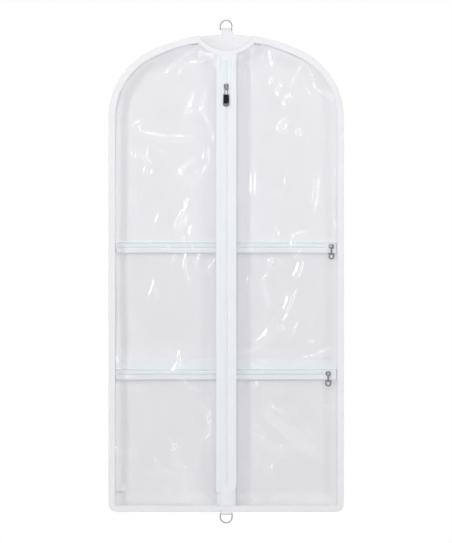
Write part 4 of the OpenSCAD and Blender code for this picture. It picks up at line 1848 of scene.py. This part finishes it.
@dataclass
class Trim:
    """Hem under the upper pocket, care label, webbing tabs and wire rings."""

    sizes: BagSizes
    finishes: Finishes
    hem_top: float = -0.799
    hem_bottom: float = -0.825
    hem_thick: float = 0.8 * MM
    hem_cell: float = 3.0 * MM
    hem_area: float = 0.0130
    hem_drop: float = 3.5 * MM
    hem_edge: float = 1.2 * MM
    hem_wave: float = 0.3 * MM
    webbing: float = 25.4 * MM
    webbing_thick: float = 1.5 * MM
    webbing_points: int = 15
    ring_wire: float = 3.5 * MM
    ring_fit: float = 0.15 * MM
    tab_reach: float = 15.0 * MM
    tab_bend: float = 13.0 * MM
    leg_gap: float = 0.02 * MM
    leg_points: int = 12
    bend_points: int = 25
    bend_cut: float = 0.9
    bend_join: float = 2.2 * MM
    top_bar: Span = (0.0323, 0.0407)
    bottom_bar: Span = (-0.0323, -1.1972)
    lean_drop: float = 5.0 * MM
    lean: float = 0.9
    stitch_lift: float = 0.1 * MM
    stitch_side: float = 2.5 * MM
    stitch_near: float = 2.0 * MM
    stitch_far: float = 3.0 * MM
    label: Span = (25.0 * MM, 20.0 * MM)
    label_thick: float = 0.3 * MM
    label_cell: float = 1.0 * MM
    label_rise: float = 60.0 * MM
    label_clear: float = 2.6 * MM
    label_curl: float = 2.2 * MM
    label_wave: float = 0.6 * MM

    def build(self) -> None:
        """Builds the trim and dresses the rings."""
        self._hem()
        self._label()
        self._tab(Level.TOP, self.top_bar, self.sizes.top_z - self.tab_reach)
        self._tab(Level.BOTTOM, self.bottom_bar, self.sizes.bottom_z + self.tab_reach)
        dress(self.finishes.wire, "top_ring", "bottom_ring")

    def _hem(self) -> None:
        """White strip across the foot of the upper pocket, lower to the right."""
        s = self.sizes

        def inside(x: Array, z: Array) -> Array:
            """Distance to the cut edge."""
            top = self.hem_top - self.hem_drop * (1 + x / s.inside_x) + self.hem_edge * np.sin(19.0 * x)
            return np.minimum(s.inside_x - np.abs(x), np.minimum(z - self.hem_bottom, top - z))

        def depth(x: Array, z: Array) -> Array:
            """Depth of the strip's middle."""
            wave = self.hem_wave * (1 + np.sin(37.0 * x + 40.0 * z))
            return s.lining_y - s.vinyl - self.hem_thick / 2 - wave

        low, high = (-s.inside_x, self.hem_bottom), (s.inside_x, self.hem_top)
        mesh = CutSheet(self.hem_cell, low, high, inside, depth, self.hem_thick).mesh("pocket_hem_cloth")
        hem = piece("pocket_hem_cloth", mesh, self.finishes.tape, "zip_tape", "pocket_hem")

    def _label(self) -> None:
        """Blank care label on the lower pocket, sewn in at the left side."""
        s, (width, height) = self.sizes, self.label
        foot = s.bottom_z + self.label_rise - height / 2
        front = s.lining_y - s.pocket_depth - self.label_clear

        def inside(x: Array, z: Array) -> Array:
            """Distance to the cut edge."""
            across = np.minimum(x + s.inside_x, width - s.inside_x - x)
            return np.minimum(across, np.minimum(z - foot, foot + height - z))

        def depth(x: Array, z: Array) -> Array:
            """Depth of the label's middle, curling forward at its free end."""
            share = (x + s.inside_x) / width
            return front - self.label_curl * share**2 + self.label_wave * np.sin(260.0 * z) * share

        low, high = (-s.inside_x, foot), (width - s.inside_x, foot + height)
        mesh = CutSheet(self.label_cell, low, high, inside, depth, self.label_thick).mesh("care_label_cloth")
        tag = piece("care_label_cloth", mesh, self.finishes.label, "label", "care_label")

    def _tab(self, level: Level, bar: Span, end: float) -> None:
        """Webbing folded round a ring's bar and sewn to the seam.

        Args:
            level: Which tab.
            bar: Depth and height of the ring's bar.
            end: Height at which the webbing ends on the bag.
        """
        up, word, thick = level.value, level.word, self.webbing_thick
        radius = self.ring_wire / 2 + self.ring_fit + thick / 2
        close = thick / 2 + self.leg_gap
        turn = np.linspace(1.5 * math.pi - self.bend_cut, self.bend_cut - 0.5 * math.pi, self.bend_points)
        bend = np.stack([radius * np.cos(turn), radius * np.sin(turn)], 1)
        low, join = up * (end - bar[1]), bend[0, 1] - self.bend_join
        legs = np.linspace(low, join, self.leg_points)
        left = np.stack([np.full_like(legs, -close), legs], 1)
        right = np.stack([np.full_like(legs, close), legs[::-1]], 1)
        profile = thickened(np.concatenate([left, bend, right]), thick)
        y, z = profile[:, 0], profile[:, 1]
        shift = np.where(-up * y > 0, up * self.lean * np.maximum(0.0, -z - self.lean_drop), 0.0)
        x = (np.linspace(-0.5, 0.5, self.webbing_points) * self.webbing)[:, None] + shift
        name = f"{word}_tab_webbing"
        mesh = swept(name, np.stack(np.broadcast_arrays(x, bar[0] + y, bar[1] + up * z), -1))
        tab = piece(name, mesh, self.finishes.webbing, "webbing", f"{word}_tab")
        face = bar[0] + up * (thick + self.stitch_lift)
        edge = self.webbing / 2 - self.stitch_side
        near, far = end + up * self.stitch_near, end + up * (self.tab_reach - self.stitch_far)
        box = [(-edge, near), (edge, near), (edge, far), (-edge, far), (-edge, near)]
        lines = box, [(-edge, near), (edge, far)], [(edge, near), (-edge, far)]
        rows = [np.array([(across, face, height) for across, height in line]) for line in lines]
        sewn = stitches(f"{word}_tab_stitches", rows, self.finishes.thread, "webbing")


# ---------------------------------------------------------------- studio


@dataclass(frozen=True)
class Softbox:
    """A rectangular lamp that faces the bag."""

    name: str
    place: Place
    size: Span
    radiance: float
    colour: Colour = (1.0, 1.0, 1.0)
    mirrored: bool = True

    def build(self, target: Vector) -> None:
        """Hangs the lamp, turned towards a point.

        Args:
            target: The point.
        """
        lamp = bpy.data.lights.new(self.name, "AREA")
        lamp.shape = "RECTANGLE"
        lamp.size, lamp.size_y = self.size
        lamp.energy = self.radiance * math.pi * self.size[0] * self.size[1]
        lamp.color = self.colour
        obj = bpy.data.objects.new(self.name, lamp)
        obj.location = self.place
        obj.rotation_euler = (target - Vector(self.place)).to_track_quat("-Z", "Y").to_euler()
        obj.visible_camera = False
        obj.visible_glossy = self.mirrored
        bpy.context.scene.collection.objects.link(obj)


COOL = (0.95, 0.985, 1.0)
LAMPS = (
    Softbox("front", (-0.12, -5.6, -0.12), (0.9, 0.9), 43.0, mirrored=False),
    Softbox("back_key", (2.7, 2.3, 0.6), (0.7, 1.2), 24.0),
    Softbox("back_fill", (-0.9, 4.8, 0.2), (0.9, 0.9), 22.0, mirrored=False),
    Softbox("key_left", (-1.75, -2.9, -0.15), (0.3, 1.3), 11.0, (1.0, 0.985, 1.0)),
    Softbox("edge_right", (1.85, -2.75, -0.5), (0.3, 1.2), 4.5, COOL),
    Softbox("top", (0.05, -2.6, 1.2), (1.2, 0.3), 4.0),
    Softbox("crown", (0.0, -1.3, 0.9), (1.4, 0.15), 3.4),
    Softbox("upper_left", (-1.3, -2.75, 0.7), (0.4, 0.4), 5.0),
    Softbox("upper_right", (1.3, -2.75, 0.7), (0.4, 0.4), 5.0),
    Softbox("lower_left", (-1.6, -2.75, -1.35), (0.4, 0.4), 4.5),
    Softbox("lower_right", (1.6, -2.75, -1.35), (0.4, 0.4), 4.5, COOL),
)


def staged(mesh: Mesh, material: Material) -> Object:
    """Puts a mesh into the scene as a thing of the studio.

    Args:
        mesh: The mesh, in place.
        material: Its material.

    Returns:
        The object, named like its mesh.
    """
    obj = bpy.data.objects.new(mesh.name, mesh)
    bpy.context.scene.collection.objects.link(obj)
    mesh.materials.append(material)
    return obj


@dataclass(frozen=True)
class Card:
    """A dim card that only polished surfaces mirror."""

    name: str
    corners: tuple[Place, ...]
    shade: float

    def build(self) -> None:
        """Hangs the card."""
        material, graph = shader_graph(f"{self.name}_felt")
        matte = graph.add("ShaderNodeBsdfDiffuse", Color=(self.shade, self.shade, self.shade, 1.0))
        graph.add("ShaderNodeOutputMaterial", Surface=matte.outputs[0])
        card = staged(mesh_from(self.name, np.array(self.corners), [(0, 1, 2, 3)]), material)
        card.visible_camera = card.visible_diffuse = card.visible_transmission = card.visible_shadow = False


CARDS = (
    Card("card_left", ((-2.9, -1.6, -2.2), (-2.9, -0.1, -2.2), (-2.9, -0.1, 1.2), (-2.9, -1.6, 1.2)), 0.01),
    Card("card_right", ((2.9, -1.6, -2.2), (2.9, -0.1, -2.2), (2.9, -0.1, 1.2), (2.9, -1.6, 1.2)), 0.01),
    Card("card_front", ((-2.4, -6.5, -2.8), (2.4, -6.5, -2.8), (2.4, -6.5, 1.8), (-2.4, -6.5, 1.8)), 0.8),
)


@dataclass
class Studio:
    """Camera, lamps, white surround and floor."""

    distance: float = 12.0
    front_y: float = -0.030
    view_height: float = 1.3854
    sensor: float = 36.0
    clip_end: float = 100.0
    centre: Span = (-0.0006, -0.5799)
    ambient: float = 0.34
    ambient_colour: Colour = (0.985, 0.99, 1.0)
    floor_z: float = -1.75
    floor_radius: float = 4.4
    floor_sides: int = 96
    floor_shade: float = 0.45
    floor_glow: float = 0.5

    def build(self) -> None:
        """Sets up everything that isn't part of the bag."""
        bpy.context.scene.view_settings.view_transform = "Standard"
        self._camera()
        self._surround()
        self._floor()
        for lamp in LAMPS:
            lamp.build(Vector((0.0, 0.0, self.centre[1])))
        for card in CARDS:
            card.build()

    def _camera(self) -> None:
        """Long-lens camera straight in front of the bag."""
        data = bpy.data.cameras.new("camera")
        data.sensor_width = self.sensor
        data.lens = self.sensor * (self.distance + self.front_y) / self.view_height
        data.clip_end = self.clip_end
        camera = bpy.data.objects.new("camera", data)
        camera.location = (self.centre[0], -self.distance, self.centre[1])
        camera.rotation_euler = (math.pi / 2, 0.0, 0.0)
        bpy.context.scene.collection.objects.link(camera)
        bpy.context.scene.camera = camera

    @staticmethod
    def _seen(graph: Graph) -> Socket:
        """Adds a value of 1 for rays from the camera, mirrors and glass.

        Args:
            graph: The tree.

        Returns:
            The value's socket.
        """
        path = graph.add("ShaderNodeLightPath")
        first = graph.math("MAXIMUM", path.outputs["Is Camera Ray"], path.outputs["Is Glossy Ray"])
        return graph.math("MAXIMUM", first, path.outputs["Is Transmission Ray"])

    def _surround(self) -> None:
        """White surround that lights the bag softly."""
        world = bpy.data.worlds.new("surround")
        world.use_nodes = True
        bpy.context.scene.world = world
        graph = Graph(world.node_tree)
        light = graph.add("ShaderNodeBackground", Color=(*self.ambient_colour, 1.0), Strength=self.ambient)
        white = graph.add("ShaderNodeBackground", Color=(1.0, 1.0, 1.0, 1.0), Strength=1.0)
        both = graph.add("ShaderNodeMixShader", i0=self._seen(graph), i1=light.outputs[0], i2=white.outputs[0])
        graph.add("ShaderNodeOutputWorld", Surface=both.outputs[0])

    def _floor(self) -> None:
        """Pale floor well below the hanging bag."""
        material, graph = shader_graph("floor_paper")
        shade, glare = self.floor_shade, graph.math("MULTIPLY", self._seen(graph), self.floor_glow)
        matte = graph.add("ShaderNodeBsdfDiffuse", Color=(shade, shade, shade, 1.0))
        glow = graph.add("ShaderNodeEmission", Color=(1.0, 1.0, 1.0, 1.0), Strength=glare)
        both = graph.add("ShaderNodeAddShader", i0=matte.outputs[0], i1=glow.outputs[0])
        graph.add("ShaderNodeOutputMaterial", Surface=both.outputs[0])
        turn = np.linspace(0, TURN, self.floor_sides + 1)[:-1]
        rim = self.floor_radius * np.stack([np.cos(turn), np.sin(turn)], 1)
        points = np.column_stack([rim, np.full_like(turn, self.floor_z)])
        staged(mesh_from("floor", points, [range(self.floor_sides)]), material)


# ---------------------------------------------------------------- the bag

CREASES = (
    Crease(((-268, -212), (-200, -232), (-157, -241), (-101, -240), (-44, -238)), 5.5, 0.36),
    Crease(((-175, -268), (-160, -280), (-147, -289)), 3.6),
    Crease(((-201, -302), (-206, -322), (-214, -340)), 4.4),
    Crease(((-183, -319), (-193, -335)), 4.0),
    Crease(((-58, -228), (-51, -272), (-56, -305), (-72, -335), (-88, -358)), 5.0, 0.38),
    Crease(((-93, -391), (-101, -414)), 5.2, 0.38),
    Crease(((-104, -427), (-113, -452), (-124, -478)), 5.6, 0.38),
    Crease(((-140, -511), (-147, -524)), 3.6),
    Crease(((-83, -511), (-83, -527)), 3.2),
    Crease(((-63, -529), (-70, -557)), 3.2),
    Crease(((-63, -18), (-65, -46)), 3.6),
    Crease(((-40, -18), (-33, -42), (-30, -66)), 3.4, 0.6),
    Crease(((-52, -22), (-44, -46)), 3.2, 0.42),
    Crease(((112, -2), (118, -36), (124, -69)), 5.0, 0.38),
    Crease(((91, -23), (88, -43)), 4.0),
    Crease(((116, -84), (114, -107)), 3.8),
    Crease(((160, -186), (148, -200), (134, -225)), 6.0, 0.38),
    Crease(((178, -212), (184, -226), (188, -243)), 5.0, 0.38),
    Crease(((196, -250), (214, -246)), 3.2),
    Crease(((69, -288), (67, -350), (69, -424)), 5.0, 0.37),
    Crease(((231, -318), (227, -380), (218, -444)), 5.0, 0.37),
    Crease(((158, -492), (190, -485), (226, -480)), 4.6, 0.38),
    Crease(((121, -463), (134, -493)), 4.4),
    Crease(((108, -540), (118, -572)), 4.0, 0.35),
    Crease(((193, -548), (184, -576), (168, -606)), 5.6, 0.4),
    Crease(((182, -606), (170, -632), (156, -664), (143, -700), (136, -722)), 6.0, 0.37),
    Crease(((128, -690), (117, -720), (98, -748), (72, -768), (40, -786)), 6.5, 0.4),
    Crease(((214, -752), (216, -766)), 5.0, 0.38),
    Crease(((284, -772), (226, -797), (160, -818)), 6.0, 0.43),
    Crease(((-270, -868), (-230, -876), (-196, -868)), 4.4),
    Crease(((-276, -846), (-240, -858)), 4.0),
    Crease(((70, -852), (72, -876)), 5.4, 0.38),
    Crease(((-93, -910), (-66, -926), (-37, -948)), 3.8),
    Crease(((-60, -915), (-52, -960)), 3.4, 0.35),
    Crease(((-203, -1092), (-186, -1090), (-170, -1091)), 3.4),
    Crease(((60, -980), (100, -1010), (150, -1030)), 4.0, 0.38),
    Crease(((56, -895), (120, -945), (190, -990), (246, -1046)), 15.0, 0.3),
    Crease(((62, -940), (110, -1000), (150, -1024)), 12.0, 0.3),
    Crease(((66, -570), (88, -640), (104, -710)), 14.0, 0.22),
    Crease(((-60, -90), (-78, -150), (-104, -220)), 13.0, 0.23),
    Crease(((-76, -160), (-54, -208), (-36, -262)), 10.0, 0.23),
    Crease(((-62, -288), (-95, -318), (-130, -352)), 12.0, 0.25),
    Crease(((48, -1150), (50, -1174)), 3.0),
    Crease(((61, -1150), (61, -1174)), 3.0),
    Crease(((70, -1150), (71, -1174)), 3.0),
)

SWELLS = (
    Swell((180, -930), (75, 85), 6.0),
    Swell((-150, -330), (60, 70), 4.0),
    Swell((140, -150), (60, 60), 3.5),
    Swell((130, -700), (60, 80), 3.5),
    Swell((-120, -1010), (70, 70), 3.0),
)
UPPER_ZIP_Z = -0.516
LOWER_ZIP_Z = -0.841
LOWER_FOOT_RISE = 6.0 * MM


def main() -> None:
    """Builds the bag and its studio, in order."""
    logging.basicConfig(level=logging.INFO, format="%(name)s: %(message)s")
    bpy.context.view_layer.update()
    sizes = BagSizes()
    outline = Outline(sizes)
    drape = Drape(outline, CREASES, SWELLS)
    finishes = Finishes()
    trim = Trim(sizes, finishes)
    foot_z = sizes.inside_z
    Studio().build()
    Shell(sizes, outline, drape, finishes).build()
    Bindings(sizes, outline, drape, finishes).build()
    CentreZip(sizes, finishes).build()
    Pocket("upper", sizes, finishes, UPPER_ZIP_Z, trim.hem_top, trim.hem_bottom, seed=11).build()
    Pocket("lower", sizes, finishes, LOWER_ZIP_Z, foot_z + LOWER_FOOT_RISE, foot_z, seed=12).build()
    trim.build()


if __name__ == "__main__":
    main()
